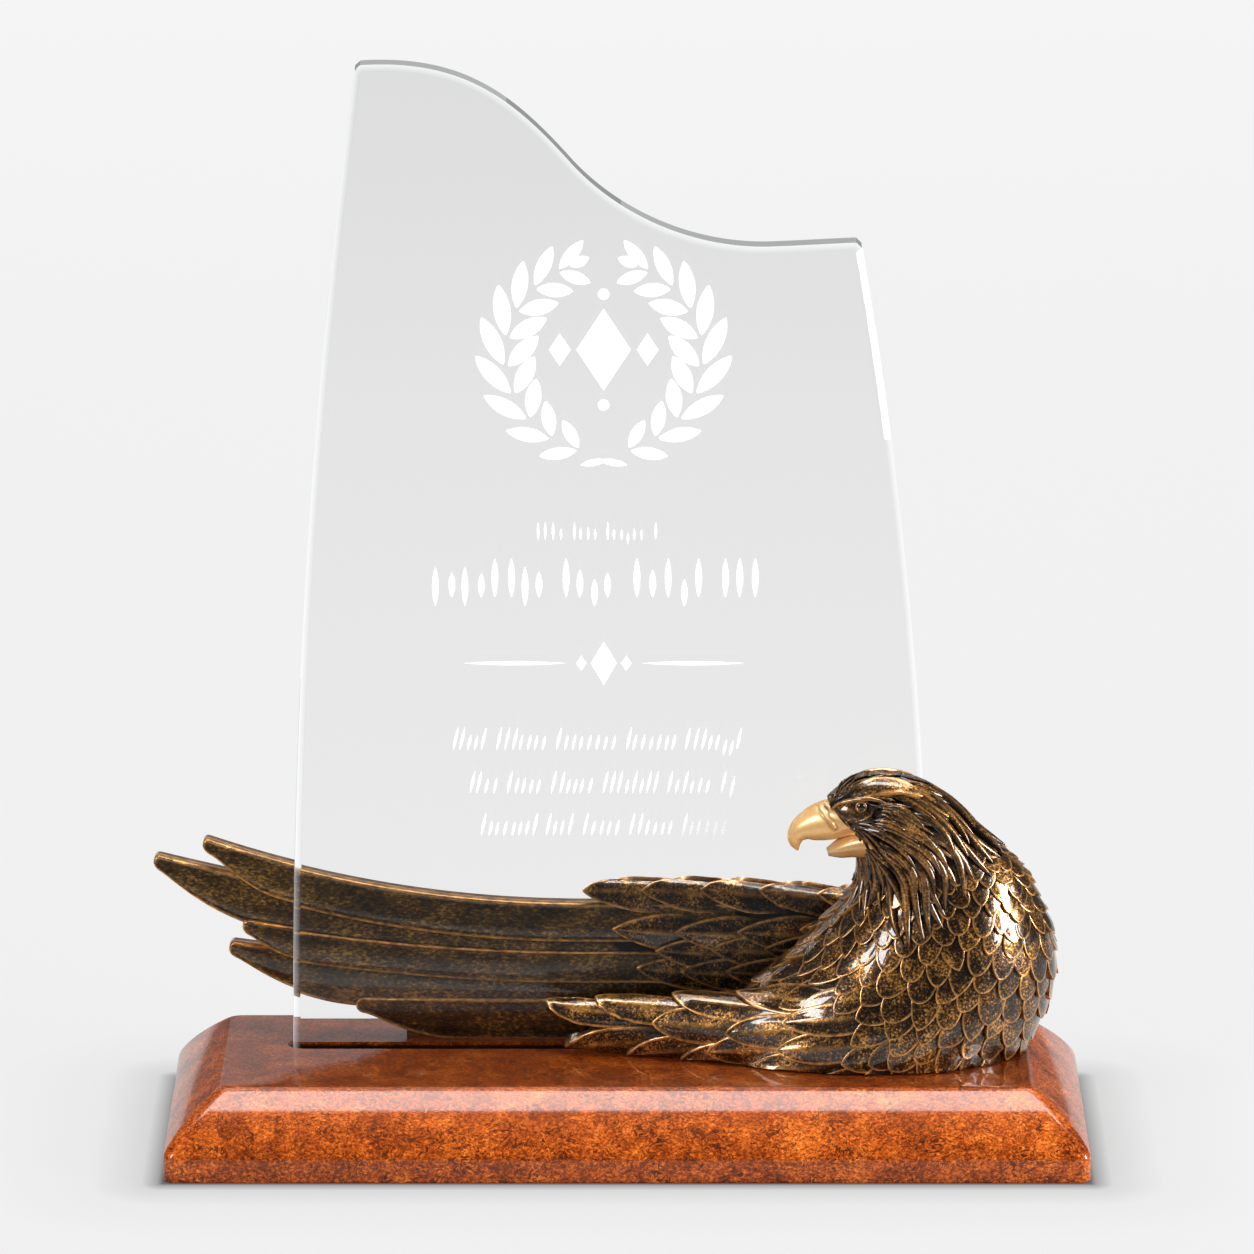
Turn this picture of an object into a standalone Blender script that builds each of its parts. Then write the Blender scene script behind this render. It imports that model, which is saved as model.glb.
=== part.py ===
"""Eagle trophy: a clear glass panel stands in the slot of a bevelled plinth, and a cast eagle wraps round it.

The eagle's head and near wing lie in front of the glass and its long far wing behind it. Its body closes
round the panel's right edge. +X runs to the right, +Y to the back and +Z up. The origin is the middle of the
plinth's underside.
"""

import math
from typing import NamedTuple

import bmesh
import bpy
import numpy as np
from mathutils import Vector
from mathutils.bvhtree import BVHTree

MM = 0.001

# Plinth: a vertical band at the foot, then a slightly rounded bevel up to the flat top
PLINTH_LENGTH = 254 * MM
PLINTH_DEPTH = 102 * MM
PLINTH_HEIGHT = 23 * MM
PLINTH_BAND = 7.5 * MM
BEVEL_RUN = 15.3 * MM
BEVEL_BULGE = (3.2 / 15.3, 6.5 / 15.5)
CORNER_RADIUS = 3 * MM
EDGE_EASE = 0.7 * MM
CORNER_STEPS = 4
BEVEL_STEPS = 6
WOOD_COLOUR = (0.42, 0.12, 0.035)

# Glass panel: its outline is measured from the plinth's middle and from the plinth's top
GLASS_THICKNESS = 9.5 * MM
GLASS_PLANE_Y = 6.5 * MM
GLASS_LEFT = -92.8 * MM
GLASS_RIGHT = 84 * MM
GLASS_PEAK = 278 * MM
GLASS_SHOULDER = 228.6 * MM
LEFT_BOW = 18.8 * MM
RIGHT_BOW = 19.9 * MM
EDGE_CHAMFER = 1.8 * MM
EDGE_CHAMFER_DEPTH = 1.2 * MM
GLASS_EDGE_STEPS = 12
GLASS_CORNER = 1.5 * MM
GLASS_CORNER_DROP = 0.2 * MM
GLASS_COLOUR = (0.93, 0.96, 0.95)
# Control points of the top edge in shares of its length and of its drop: a crest, a trough, and a small lift
WAVE_CREST = [(0, 0), (0.205, -0.036), (0.305, 0.185), (0.417, 0.53)]
WAVE_TROUGH = [(0.417, 0.53), (0.512, 0.835), (0.667, 1.038), (0.83, 1.022)]
WAVE_LIFT = [(0.83, 1.022), (0.89, 1.016), (0.95, 1.005), (1, 1)]

# Slot in the plinth, and the clearance that every fitted face keeps
SLOT_DEPTH = 12 * MM
SLOT_END_ROOM = 1.8 * MM
FIT_GAP = 0.3 * MM
SLOT_STEPS = 8

# Eagle: its form is drawn as shares of its own length, in units of a 251st of it
EAGLE_LENGTH = 251 * MM
UNIT = EAGLE_LENGTH / 251
FUSE_VOXEL = 0.8 * MM
GUIDE_VOXEL = 1.6 * MM
GUIDE_SMOOTHING = 6
TRIANGLE_SHARE = 0.057
CUTTER_REACH = 400 * MM
BRONZE_COLOUR = (0.16, 0.095, 0.035)
# Forms that meet the plinth start this many units below its top and are trimmed there
SUNK = -4

PLINTH_TOP = PLINTH_HEIGHT
GLASS_FRONT = GLASS_PLANE_Y - GLASS_THICKNESS / 2
GLASS_BACK = GLASS_PLANE_Y + GLASS_THICKNESS / 2
SLIT_FRONT = GLASS_FRONT - FIT_GAP
SLIT_BACK = GLASS_BACK + FIT_GAP


def ahead(distance):
    """The y of a point this many units in front of the slit's front wall."""
    return SLIT_FRONT - distance * UNIT


def behind(distance):
    """The y of a point this many units behind the slit's back wall."""
    return SLIT_BACK + distance * UNIT


def up(height):
    """The z of a point this many units above the plinth's top."""
    return PLINTH_TOP + height * UNIT


def clear_scene():
    for obj in list(bpy.data.objects):
        bpy.data.objects.remove(obj, do_unlink=True)


def material(name, colour, roughness, metallic, transmission=0.0):
    made = bpy.data.materials.new(name)
    made.use_nodes = True
    shader = made.node_tree.nodes["Principled BSDF"]
    shader.inputs["Base Color"].default_value = (*colour, 1)
    shader.inputs["Roughness"].default_value = roughness
    shader.inputs["Metallic"].default_value = metallic
    shader.inputs["Transmission Weight"].default_value = transmission
    made.diffuse_color = (*colour, 1)
    return made


def bezier(controls, t):
    """The point at share t of the curve with these control points."""
    points = [np.array(p, float) for p in controls]
    while len(points) > 1:
        points = [a + (b - a) * t for a, b in zip(points, points[1:])]
    return points[0]


def smoothstep(low, high, value):
    share = min(max((value - low) / (high - low), 0.0), 1.0)
    return share * share * (3 - 2 * share)


def loft(rings):
    """A closed shell through rings of equal counts, with a flat cap at each end, as (points, faces)."""
    count = len(rings[0])
    points = [tuple(p) for ring in rings for p in ring]
    faces = [tuple(reversed(range(count)))]
    for level in range(len(rings) - 1):
        low, high = level * count, (level + 1) * count
        for k in range(count):
            after = (k + 1) % count
            faces.append((low + k, low + after, high + after, high + k))
    faces.append(tuple((len(rings) - 1) * count + k for k in range(count)))
    return points, faces


def joined(shells):
    points, faces = [], []
    for shell_points, shell_faces in shells:
        start = len(points)
        points += shell_points
        faces += [tuple(start + k for k in face) for face in shell_faces]
    return points, faces


def mesh_of(name, shell):
    """A mesh from (points, faces), with the faces of each shell in it turned outwards."""
    mesh = bpy.data.meshes.new(name)
    mesh.from_pydata([tuple(map(float, p)) for p in shell[0]], [], shell[1])
    shape = bmesh.new()
    shape.from_mesh(mesh)
    bmesh.ops.recalc_face_normals(shape, faces=shape.faces)
    shape.to_mesh(mesh)
    shape.free()
    return mesh


def add_object(name, mesh, finish=None):
    obj = bpy.data.objects.new(name, mesh)
    bpy.context.scene.collection.objects.link(obj)
    if finish:
        mesh.materials.append(finish)
    return obj


def baked(obj, name):
    """The object's mesh with its modifiers applied. The object itself is removed."""
    bpy.context.view_layer.update()
    graph = bpy.context.evaluated_depsgraph_get()
    mesh = bpy.data.meshes.new_from_object(obj.evaluated_get(graph))
    mesh.name = name
    bpy.data.objects.remove(obj, do_unlink=True)
    return mesh


def fuse(obj, voxel):
    made = obj.modifiers.new("Fuse", "REMESH")
    made.mode = "VOXEL"
    made.voxel_size = voxel
    made.adaptivity = 0.0


def cut(obj, cutter):
    """Takes the cutter's volume out of the object."""
    cutter.hide_render = True
    cutter.display_type = "WIRE"
    made = obj.modifiers.new("Cut " + cutter.name, "BOOLEAN")
    made.operation = "DIFFERENCE"
    made.solver = "EXACT"
    made.object = cutter


def box_between(name, low, high):
    corners = ((low[0], low[1]), (high[0], low[1]), (high[0], high[1]), (low[0], high[1]))
    rings = [[(x, y, z) for x, y in corners] for z in (low[2], high[2])]
    return add_object(name, mesh_of(name, loft(rings)))


# Plinth


def rounded_rectangle(half_length, half_depth, radius, z):
    ring = []
    for corner in range(4):
        sign_x = (1, -1, -1, 1)[corner]
        sign_y = (1, 1, -1, -1)[corner]
        for step in range(CORNER_STEPS + 1):
            angle = math.radians(90 * corner + 90 * step / CORNER_STEPS)
            ring.append((sign_x * (half_length - radius) + radius * math.cos(angle),
                         sign_y * (half_depth - radius) + radius * math.sin(angle), z))
    return ring


def plinth_profile():
    """(inset from the foot's outline, height) from the underside to the top."""
    rise = PLINTH_HEIGHT - PLINTH_BAND
    bulge = (BEVEL_BULGE[0] * BEVEL_RUN, PLINTH_BAND + BEVEL_BULGE[1] * rise)
    bevel = [(0.0, PLINTH_BAND), bulge, (BEVEL_RUN, PLINTH_HEIGHT - EDGE_EASE / 2)]
    profile = [(EDGE_EASE, 0.0), (0.0, EDGE_EASE)]
    profile += [tuple(bezier(bevel, step / BEVEL_STEPS)) for step in range(BEVEL_STEPS + 1)]
    profile.append((BEVEL_RUN + EDGE_EASE, PLINTH_HEIGHT))
    return profile


def slot_ring(z):
    """The slot's outline: a long slot with round ends."""
    radius = (SLIT_BACK - SLIT_FRONT) / 2
    left = GLASS_LEFT - SLOT_END_ROOM + radius
    right = GLASS_RIGHT + SLOT_END_ROOM - radius
    ring = []
    for centre, start in ((right, -90), (left, 90)):
        for step in range(SLOT_STEPS + 1):
            angle = math.radians(start + 180 * step / SLOT_STEPS)
            ring.append((centre + radius * math.cos(angle), GLASS_PLANE_Y + radius * math.sin(angle), z))
    return ring


def build_plinth():
    wood = material("lacquered rosewood", WOOD_COLOUR, 0.2, 0.0)
    rings = [rounded_rectangle(PLINTH_LENGTH / 2 - inset, PLINTH_DEPTH / 2 - inset, CORNER_RADIUS, z)
             for inset, z in plinth_profile()]
    plinth = add_object("plinth", mesh_of("plinth", loft(rings)), wood)
    slot = loft([slot_ring(PLINTH_TOP - SLOT_DEPTH), slot_ring(PLINTH_TOP + SLOT_DEPTH)])
    cut(plinth, add_object("slot_cutter", mesh_of("slot_cutter", slot)))


# Glass panel


def glass_outline():
    """The panel's outline in the xz plane, anticlockwise seen from the front, from its foot's left corner."""
    foot = PLINTH_TOP - SLOT_DEPTH + FIT_GAP
    peak = PLINTH_TOP + GLASS_PEAK
    shoulder = PLINTH_TOP + GLASS_SHOULDER

    def bowed_edge(x, bow, top):
        """Both long edges stand upright at the plinth and bow inwards towards the top."""
        heights = np.linspace(PLINTH_TOP, top, GLASS_EDGE_STEPS + 1)
        return [(x + bow * ((z - PLINTH_TOP) / (top - PLINTH_TOP)) ** 2, z) for z in heights]

    left = bowed_edge(GLASS_LEFT, LEFT_BOW, peak - GLASS_CORNER)
    right = bowed_edge(GLASS_RIGHT, -RIGHT_BOW, shoulder - GLASS_CORNER)
    start = np.array([left[-1][0] + GLASS_CORNER, peak - GLASS_CORNER_DROP])
    end = np.array([right[-1][0] - GLASS_CORNER, shoulder])

    def wave(controls, shares):
        return [tuple(start + (end - start) * bezier(controls, t)) for t in shares]

    steps = np.linspace(0, 1, GLASS_EDGE_STEPS + 1)
    top = wave(WAVE_CREST, steps) + wave(WAVE_TROUGH, steps[1:]) + wave(WAVE_LIFT, (0.5, 1.0))
    return [(GLASS_LEFT, foot), (GLASS_RIGHT, foot)] + right + top[::-1] + left[::-1]


def inset_outline(outline, distance):
    """The outline moved inwards along the mean of its two sides' normals at each corner."""
    moved = []
    count = len(outline)
    for k in range(count):
        before, here, after = (np.array(outline[(k + step) % count]) for step in (-1, 0, 1))
        first = (here - before) / np.linalg.norm(here - before)
        second = (after - here) / np.linalg.norm(after - here)
        inward = np.array([-first[1] - second[1], first[0] + second[0]])
        inward /= 1 + first @ second
        moved.append(tuple(here + inward * distance))
    return moved


def build_glass():
    glass = material("clear glass", GLASS_COLOUR, 0.02, 0.0, transmission=1.0)
    outer = glass_outline()
    inner = inset_outline(outer, EDGE_CHAMFER)
    rings = [[(x, y, z) for x, z in outline] for outline, y in (
        (inner, GLASS_FRONT), (outer, GLASS_FRONT + EDGE_CHAMFER_DEPTH),
        (outer, GLASS_BACK - EDGE_CHAMFER_DEPTH), (inner, GLASS_BACK))]
    add_object("glass_panel", mesh_of("glass_panel", loft(rings)), glass)


# Eagle: the body, neck and head as one stack of oval sections, and the near wing as a second stack

# Height above the plinth, left and right reach in x, reach ahead of the slit's front wall and behind it
BODY_SECTIONS = [
    (-6, 24, 109.0, 25.5, 29.0),
    (0, 24, 110.4, 25.8, 29.2),
    (6, 26, 113.4, 26.2, 29.6),
    (13, 30, 116.8, 26.4, 29.8),
    (21, 37, 118.6, 26.2, 29.2),
    (29, 46, 118.8, 25.2, 27.4),
    (37, 53.5, 117.2, 24.4, 23.8),
    (45, 60.8, 113.6, 23.4, 17.5),
    (52, 64.6, 110.9, 22.6, 10.0),
    (59, 64.0, 105.2, 22.4, 3.0),
    (65, 62.2, 98.2, 23.0, -0.8),
    (71, 58.8, 92.4, 23.2, -2.0),
    (76, 56.8, 87.2, 22.6, -3.0),
    (79.6, 58.8, 82.2, 20.8, -5.2),
    (81.6, 62.4, 76.8, 18.4, -8.0),
    (82.6, 66.6, 73.4, 15.4, -10.8),
]
# x, reach ahead of the slit at the outer side, lowest and highest point above the plinth
NEAR_WING_SECTIONS = [
    (74, 27, -4, 30),
    (60, 25.5, -4, 25),
    (47, 21.5, -4, 20.5),
    (34, 17.0, -4, 18.0),
    (21, 13.0, -2, 17.0),
    (8, 9.5, 0, 16.0),
    (-4, 7.0, 1, 15.0),
]
# The wing's form goes on only as a guide for the outermost feathers
NEAR_WING_GUIDE_SECTIONS = [
    (-16, 5.0, 3, 14.0),
    (-28, 3.6, 5, 13.0),
]
# How far the near wing reaches back past the slit's front wall, which trims it
NEAR_WING_OVERLAP = 1.0
NEAR_WING_SQUARENESS = 2.3
ARM_SQUARENESS = 4.0
SECTION_POINTS = 40
BALL_STEPS = 8


def oval(centre, radii, place, power=2.0):
    """A ring of points on an oval. place turns the two coordinates into a point."""
    ring = []
    for k in range(SECTION_POINTS):
        angle = 2 * math.pi * k / SECTION_POINTS
        c, s = math.cos(angle), math.sin(angle)
        ring.append(place(centre[0] + radii[0] * math.copysign(abs(c) ** (2 / power), c),
                          centre[1] + radii[1] * math.copysign(abs(s) ** (2 / power), s)))
    return ring


def body_section(row):
    """Centre and radii of the body's oval at one row, as ((x, y), (half length, half depth))."""
    _, left, right, front, back = row
    low, high = ahead(front), ahead(-back)
    return ((left + right) / 2 * UNIT, (low + high) / 2), ((right - left) / 2 * UNIT, (high - low) / 2)


def body_shell():
    rings = []
    for row in BODY_SECTIONS:
        centre, radii = body_section(row)
        rings.append(oval(centre, radii, lambda x, y, z=up(row[0]): (x, y, z)))
    return loft(rings)


def near_wing_shell(sections):
    rings = []
    for x, reach, low, high in sections:
        back = ahead(-NEAR_WING_OVERLAP)
        centre = ((ahead(reach) + back) / 2, (up(low) + up(high)) / 2)
        radii = ((back - ahead(reach)) / 2, (up(high) - up(low)) / 2)
        rings.append(oval(centre, radii, lambda y, z, x=x * UNIT: (x, y, z), NEAR_WING_SQUARENESS))
    return loft(rings)


def ball(centre, radius):
    rings = []
    for level in range(1, BALL_STEPS):
        polar = math.pi * level / BALL_STEPS
        across = radius * math.sin(polar)
        z = centre[2] - radius * math.cos(polar)
        rings.append(oval(centre[:2], (across, across), lambda x, y, z=z: (x, y, z)))
    return loft(rings)


# Beak: x and height of the middle line, half height across that line, half width
UPPER_BEAK = [
    (66, 70.8, 5.3, 7.4),
    (60.5, 70.5, 5.4, 6.5),
    (55.3, 69.5, 5.6, 5.5),
    (51.4, 68.4, 4.9, 4.5),
    (48.3, 67.0, 3.6, 3.5),
    (46.6, 65.0, 2.6, 2.6),
    (46.4, 63.1, 1.8, 1.8),
    (46.8, 61.6, 0.8, 0.9),
]
LOWER_BEAK = [
    (68, 64.2, 4.6, 6.4),
    (62.5, 63.2, 3.4, 5.0),
    (58.5, 61.8, 2.2, 3.6),
    (55.2, 60.6, 0.9, 1.8),
]
HEAD_DEPTH = 13.0


def beak_shell(rows):
    """Oval sections set square to the beak's middle line."""
    line = [np.array(row[:2], float) for row in rows]
    rings = []
    for k, (_, _, tall, wide) in enumerate(rows):
        along = line[min(k + 1, len(line) - 1)] - line[max(k - 1, 0)]
        along /= np.linalg.norm(along)
        square = np.array([-along[1], along[0]])
        rings.append(oval((0, 0), (tall, wide), lambda a, b, p=line[k], q=square: (
            (p[0] + q[0] * a) * UNIT, ahead(HEAD_DEPTH + b), up(p[1] + q[1] * a))))
    return loft(rings)


# Far wing: flat vanes standing behind the glass, and a feathered arm

# x and height of the tip, height of the upper edge at the root, how late that edge sweeps up, width, length
# that narrows to the tip, bluntness of the tip, and layer: the vanes of layer 1 lie in front of layer 0
PRIMARIES = [
    (-118.2, 56.3, 38.8, 2.1, 10.8, 22, 0.95, 1),
    (-132.6, 50.9, 32.6, 1.6, 14.2, 34, 0.75, 0),
    (-107.3, 32.8, 24.8, 2.0, 8.6, 15, 0.9, 1),
    (-111.2, 26.0, 17.0, 1.4, 13.0, 34, 0.75, 0),
    (-75.6, 11.2, 11.0, 1.0, 11.5, 30, 0.85, 1),
]
# The upper edges are straight from here to the root
PRIMARY_SWEEP_END = -10
PRIMARY_ROOT = 30
PRIMARY_STEPS = 14
PRIMARY_TIP_CROWDING = 1.6
PRIMARY_CROWN = 0.5
# Front and back of the vanes behind the slit, and how far layer 1 is set in front of layer 0
WING_FRONT = 4.2
WING_BACK = 10.5
LAYER_STEP = 1.2
BACK_LAYER_STEP = 0.96
# How far the wing bends away from the glass, where that starts, and over what length
WING_CURL = 3.0
WING_CURL_START = -10
WING_CURL_SPAN = 122


def wing_curl(x):
    """How far the far wing bends away from the glass towards its tips."""
    return WING_CURL * max((WING_CURL_START - x) / WING_CURL_SPAN, 0.0) ** 2


def vane(tip_x, tip_height, root_height, sweep, width, taper, bluntness, layer):
    """A flat flight feather that points to -X. Its tip is at its upper edge."""
    front = WING_FRONT + LAYER_STEP * (1 - layer)
    back = WING_BACK - BACK_LAYER_STEP * layer
    rings = []
    for step in range(PRIMARY_STEPS + 1):
        x = tip_x + (PRIMARY_ROOT - tip_x) * (step / PRIMARY_STEPS) ** PRIMARY_TIP_CROWDING
        swept = max((PRIMARY_SWEEP_END - x) / (PRIMARY_SWEEP_END - tip_x), 0.0)
        high = root_height + (tip_height - root_height) * swept ** sweep
        share = min((x - tip_x) / taper, 1.0)
        full = max((1 - (1 - share) ** 2) ** bluntness, 0.03)
        low = high - width * full
        ring = []
        for t in (0.0, 0.12, 0.5, 0.88, 1.0):
            rise = PRIMARY_CROWN * min(full * 3, 1.0) * (1 - (2 * t - 1) ** 4)
            ring.append((x * UNIT, behind(front + wing_curl(x) - rise), up(low + (high - low) * t)))
        for t in (1.0, 0.5, 0.0):
            ring.append((x * UNIT, behind(back + wing_curl(x)), up(low + (high - low) * t)))
        rings.append(ring)
    return loft(rings)


# The wing's arm, which its short feathers lie on: x, front and back, lowest and highest point
ARM_SECTIONS = [
    (-14, 4.6, 10.2, 26, 38),
    (-2, 4.0, 11.0, 20, 41.5),
    (12, 3.6, 12.0, 13, 43.0),
    (30, 3.4, 13.5, 2, 42.6),
    (48, 3.4, 15.0, -4, 41.6),
    (64, 3.4, 16.5, -4, 41.0),
    (78, 3.4, 15.0, -4, 38.5),
    (92, 3.4, 9.0, -4, 33.0),
]
# Rows of short feathers on the arm: x and height of the first tip, step and arch along the row, count and
# half width
COVERT_ROWS = [
    (20.0, 10.5, 25.5, 0.0, 2, 5.6),
    (2.5, 20.3, 12.4, -0.3, 4, 5.4),
    (7.8, 25.8, 15.2, 0.25, 4, 5.6),
    (-4.2, 32.0, 17.4, -0.35, 4, 5.8),
    (-11.0, 42.6, 16.0, 0.0, 6, 5.6),
]
COVERT_LENGTH = 30
COVERT_SLOPE = -0.08
# Distances behind the slit from which the feathers are laid on the arm's front and on its back
COVERT_SIDES = (1.0, 24.0)
# The bar that carries the wing on the plinth
FOOT_LEFT = -61.5
FOOT_RIGHT = 60
FOOT_FRONT = 4.9
FOOT_BACK = 10.5
FOOT_TOP = 6


def arm_shell():
    rings = []
    for x, front, back, low, high in ARM_SECTIONS:
        centre = ((behind(front) + behind(back)) / 2, (up(low) + up(high)) / 2)
        radii = ((behind(back) - behind(front)) / 2, (up(high) - up(low)) / 2)
        rings.append(oval(centre, radii, lambda y, z, x=x * UNIT: (x, y, z), ARM_SQUARENESS))
    return loft(rings)


def primary_shells():
    """The long flight feathers, and the bar that carries the wing on the plinth."""
    shells = [vane(*row) for row in PRIMARIES]
    corners = ((FOOT_FRONT, SUNK), (FOOT_FRONT, FOOT_TOP), (FOOT_BACK, FOOT_TOP), (FOOT_BACK, SUNK))
    shells.append(loft([[(x * UNIT, behind(y), up(z)) for y, z in corners] for x in (FOOT_LEFT, FOOT_RIGHT)]))
    return shells


# Feathers laid on a guide surface


class Lie(NamedTuple):
    """How a kind of feather lies on its guide, in units. bluntness and steps are plain numbers."""

    taper: float
    bluntness: float
    tip_lift: float
    root_lift: float
    depth: float
    crown: float
    steps: int


COVERT_LIE = Lie(taper=20, bluntness=0.85, tip_lift=1.7, root_lift=-1.2, depth=1.6, crown=0.4, steps=9)
NEAR_WING_LIE = Lie(taper=15, bluntness=0.75, tip_lift=2.0, root_lift=-0.8, depth=1.6, crown=0.4, steps=9)
HACKLE_LIE = Lie(taper=9, bluntness=0.7, tip_lift=1.1, root_lift=-0.3, depth=1.2, crown=0.7, steps=8)
SCALE_LIE = Lie(taper=5.6, bluntness=0.5, tip_lift=1.1, root_lift=-0.7, depth=1.2, crown=0.2, steps=6)
FEATHER_ACROSS = 4
FEATHER_ROOT_WIDTH = 0.72
# Steps crowd towards the tip by this power
TIP_CROWDING = 1.7
# A feather's direction is taken over this share of its length behind a point and ahead of it
LOOK_BACK = 0.05
LOOK_AHEAD = 0.02
PATH_STEPS = 6


class Guide:
    """A surface that feathers are laid on."""

    def __init__(self, shells, name):
        obj = add_object(name, mesh_of(name, joined(shells)))
        fuse(obj, GUIDE_VOXEL)
        smooth = obj.modifiers.new("Smooth", "SMOOTH")
        smooth.factor = 0.5
        smooth.iterations = GUIDE_SMOOTHING
        self.mesh = baked(obj, name)
        points = [v.co.copy() for v in self.mesh.vertices]
        self.tree = BVHTree.FromPolygons(points, [tuple(p.vertices) for p in self.mesh.polygons])

    def shell(self):
        return [tuple(v.co) for v in self.mesh.vertices], [tuple(p.vertices) for p in self.mesh.polygons]

    def touch(self, point):
        """The nearest point of the surface and its outward normal."""
        place, normal, _, _ = self.tree.find_nearest(Vector(point))
        return np.array(place), np.array(normal)


def laid_feather(guide, path, half_width, lie):
    """A closed feather that hugs the guide along a path from root to tip. The half width is in units."""
    path = [np.array(p, float) for p in path]
    lengths = np.concatenate([[0], np.cumsum([np.linalg.norm(b - a) for a, b in zip(path, path[1:])])])
    total = lengths[-1]

    def place_at(distance):
        reached = min(max(distance, 0), total)
        return np.array([np.interp(reached, lengths, [p[axis] for p in path]) for axis in range(3)])

    rings = []
    for step in range(lie.steps + 1):
        share = 1 - (1 - step / lie.steps) ** TIP_CROWDING
        here = share * total
        centre, normal = guide.touch(place_at(here))
        along = place_at(here + LOOK_AHEAD * total) - place_at(here - LOOK_BACK * total)
        along -= normal * (along @ normal)
        side = np.cross(normal, along / np.linalg.norm(along))
        left = (total - here) / UNIT
        narrow = max((1 - (1 - min(left / lie.taper, 1.0)) ** 2) ** lie.bluntness, 0.05)
        wide = half_width * UNIT * narrow
        wide *= FEATHER_ROOT_WIDTH + (1 - FEATHER_ROOT_WIDTH) * smoothstep(0, 0.45, share)
        top, bottom = [], []
        for k in range(FEATHER_ACROSS + 1):
            t = 2 * k / FEATHER_ACROSS - 1
            place, outward = guide.touch(centre + side * wide * t)
            lift = lie.root_lift + (lie.tip_lift - lie.root_lift) * share + lie.crown * narrow * (1 - t * t)
            top.append(place + outward * lift * UNIT)
            bottom.append(place - outward * lie.depth * UNIT)
        rings.append(top + bottom[::-1])
    return loft(rings)


def covert_feathers(guide):
    """The same rows on the wing's front and on its back."""
    shells = []
    for side in COVERT_SIDES:
        for x, height, step, arch, count, half_width in COVERT_ROWS:
            for k in range(count):
                tip = np.array([(x + step * k) * UNIT, behind(side), up(height + arch * k * (count - 1 - k))])
                path = []
                for share in np.linspace(1, 0, PATH_STEPS):
                    away = COVERT_LENGTH * UNIT * share
                    path.append(tip + np.array([away, 0.0, COVERT_SLOPE * away]))
                shells.append(laid_feather(guide, path, half_width, COVERT_LIE))
    return shells


def body_rings_at(height):
    """Centre and radii of the body's oval at a height above the plinth, in units."""
    rows = BODY_SECTIONS
    for low, high in zip(rows, rows[1:]):
        if low[0] <= height <= high[0]:
            share = (height - low[0]) / (high[0] - low[0])
            row = tuple(a + (b - a) * share for a, b in zip(low, high))
            return body_section(row)
    return body_section(rows[-1])


# The body's scales end under the neck's long feathers, along this sloping line
HACKLE_EDGE_X = 84
HACKLE_EDGE_HEIGHT = 47.5
HACKLE_EDGE_SLOPE = 0.32
SCALE_OVERLAP = 2
SCALE_PITCH = 7.0
SCALE_FIRST_ROW = 1.5
SCALE_ROWS_HEIGHT = 58
SCALE_HALF_WIDTH = 0.57 * SCALE_PITCH
# The scales stop at the near wing in front and at the far wing's arm behind
SCALE_FRONT_LEFT = 44
SCALE_BACK_LEFT = 62
# Scales turn from pointed to round between these two places
POINTED_X = 50
ROUND_X = 76
FLOW_PIVOT = (46, 40)


def hackle_edge(height, x):
    """Above 0 where the neck's long feathers cover the body's scales."""
    return height - (HACKLE_EDGE_HEIGHT + HACKLE_EDGE_SLOPE * (x - HACKLE_EDGE_X))


def flow_at(point):
    """The way the scales point: down at the right, turning to the left under the pivot."""
    x = point[0] / UNIT - FLOW_PIVOT[0]
    z = (point[2] - PLINTH_TOP) / UNIT - FLOW_PIVOT[1]
    return np.array([z, 0.0, -x]) / math.hypot(x, z)


def has_scale(x, y, height):
    if hackle_edge(height, x) > SCALE_OVERLAP:
        return False
    if x < SCALE_FRONT_LEFT and y < SLIT_FRONT:
        return False
    return x >= SCALE_BACK_LEFT or y <= SLIT_BACK


def scale_shells(guide):
    shells = []
    rng = np.random.default_rng(7)
    row_step = SCALE_PITCH * math.cos(math.radians(30))
    for row in range(int(SCALE_ROWS_HEIGHT / row_step)):
        height = SCALE_FIRST_ROW + row * row_step
        (cx, cy), (rx, ry) = body_rings_at(height)
        around = math.pi * (3 * (rx + ry) - math.sqrt((3 * rx + ry) * (rx + 3 * ry)))
        count = max(int(round(around / (SCALE_PITCH * UNIT))), 6)
        for k in range(count):
            angle = 2 * math.pi * (k + 0.5 * (row % 2)) / count + rng.uniform(-0.03, 0.03)
            z = up(height + rng.uniform(-0.5, 0.5))
            start = np.array([cx + rx * math.cos(angle), cy + ry * math.sin(angle), z])
            x = start[0] / UNIT
            if not has_scale(x, start[1], height):
                continue
            place, normal = guide.touch(start)
            flow = flow_at(place)
            flow -= normal * (flow @ normal)
            flow /= np.linalg.norm(flow)
            pointed = 1 - smoothstep(POINTED_X, ROUND_X, x)
            reach = SCALE_PITCH * UNIT * (1.5 + 0.5 * pointed)
            path = [place - flow * reach * 0.6, place, place + flow * reach * 0.4]
            lie = SCALE_LIE._replace(taper=SCALE_LIE.taper + 0.7 * SCALE_PITCH * pointed,
                                     bluntness=SCALE_LIE.bluntness + 0.2 * pointed)
            shells.append(laid_feather(guide, path, SCALE_HALF_WIDTH, lie))
    return shells


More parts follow.
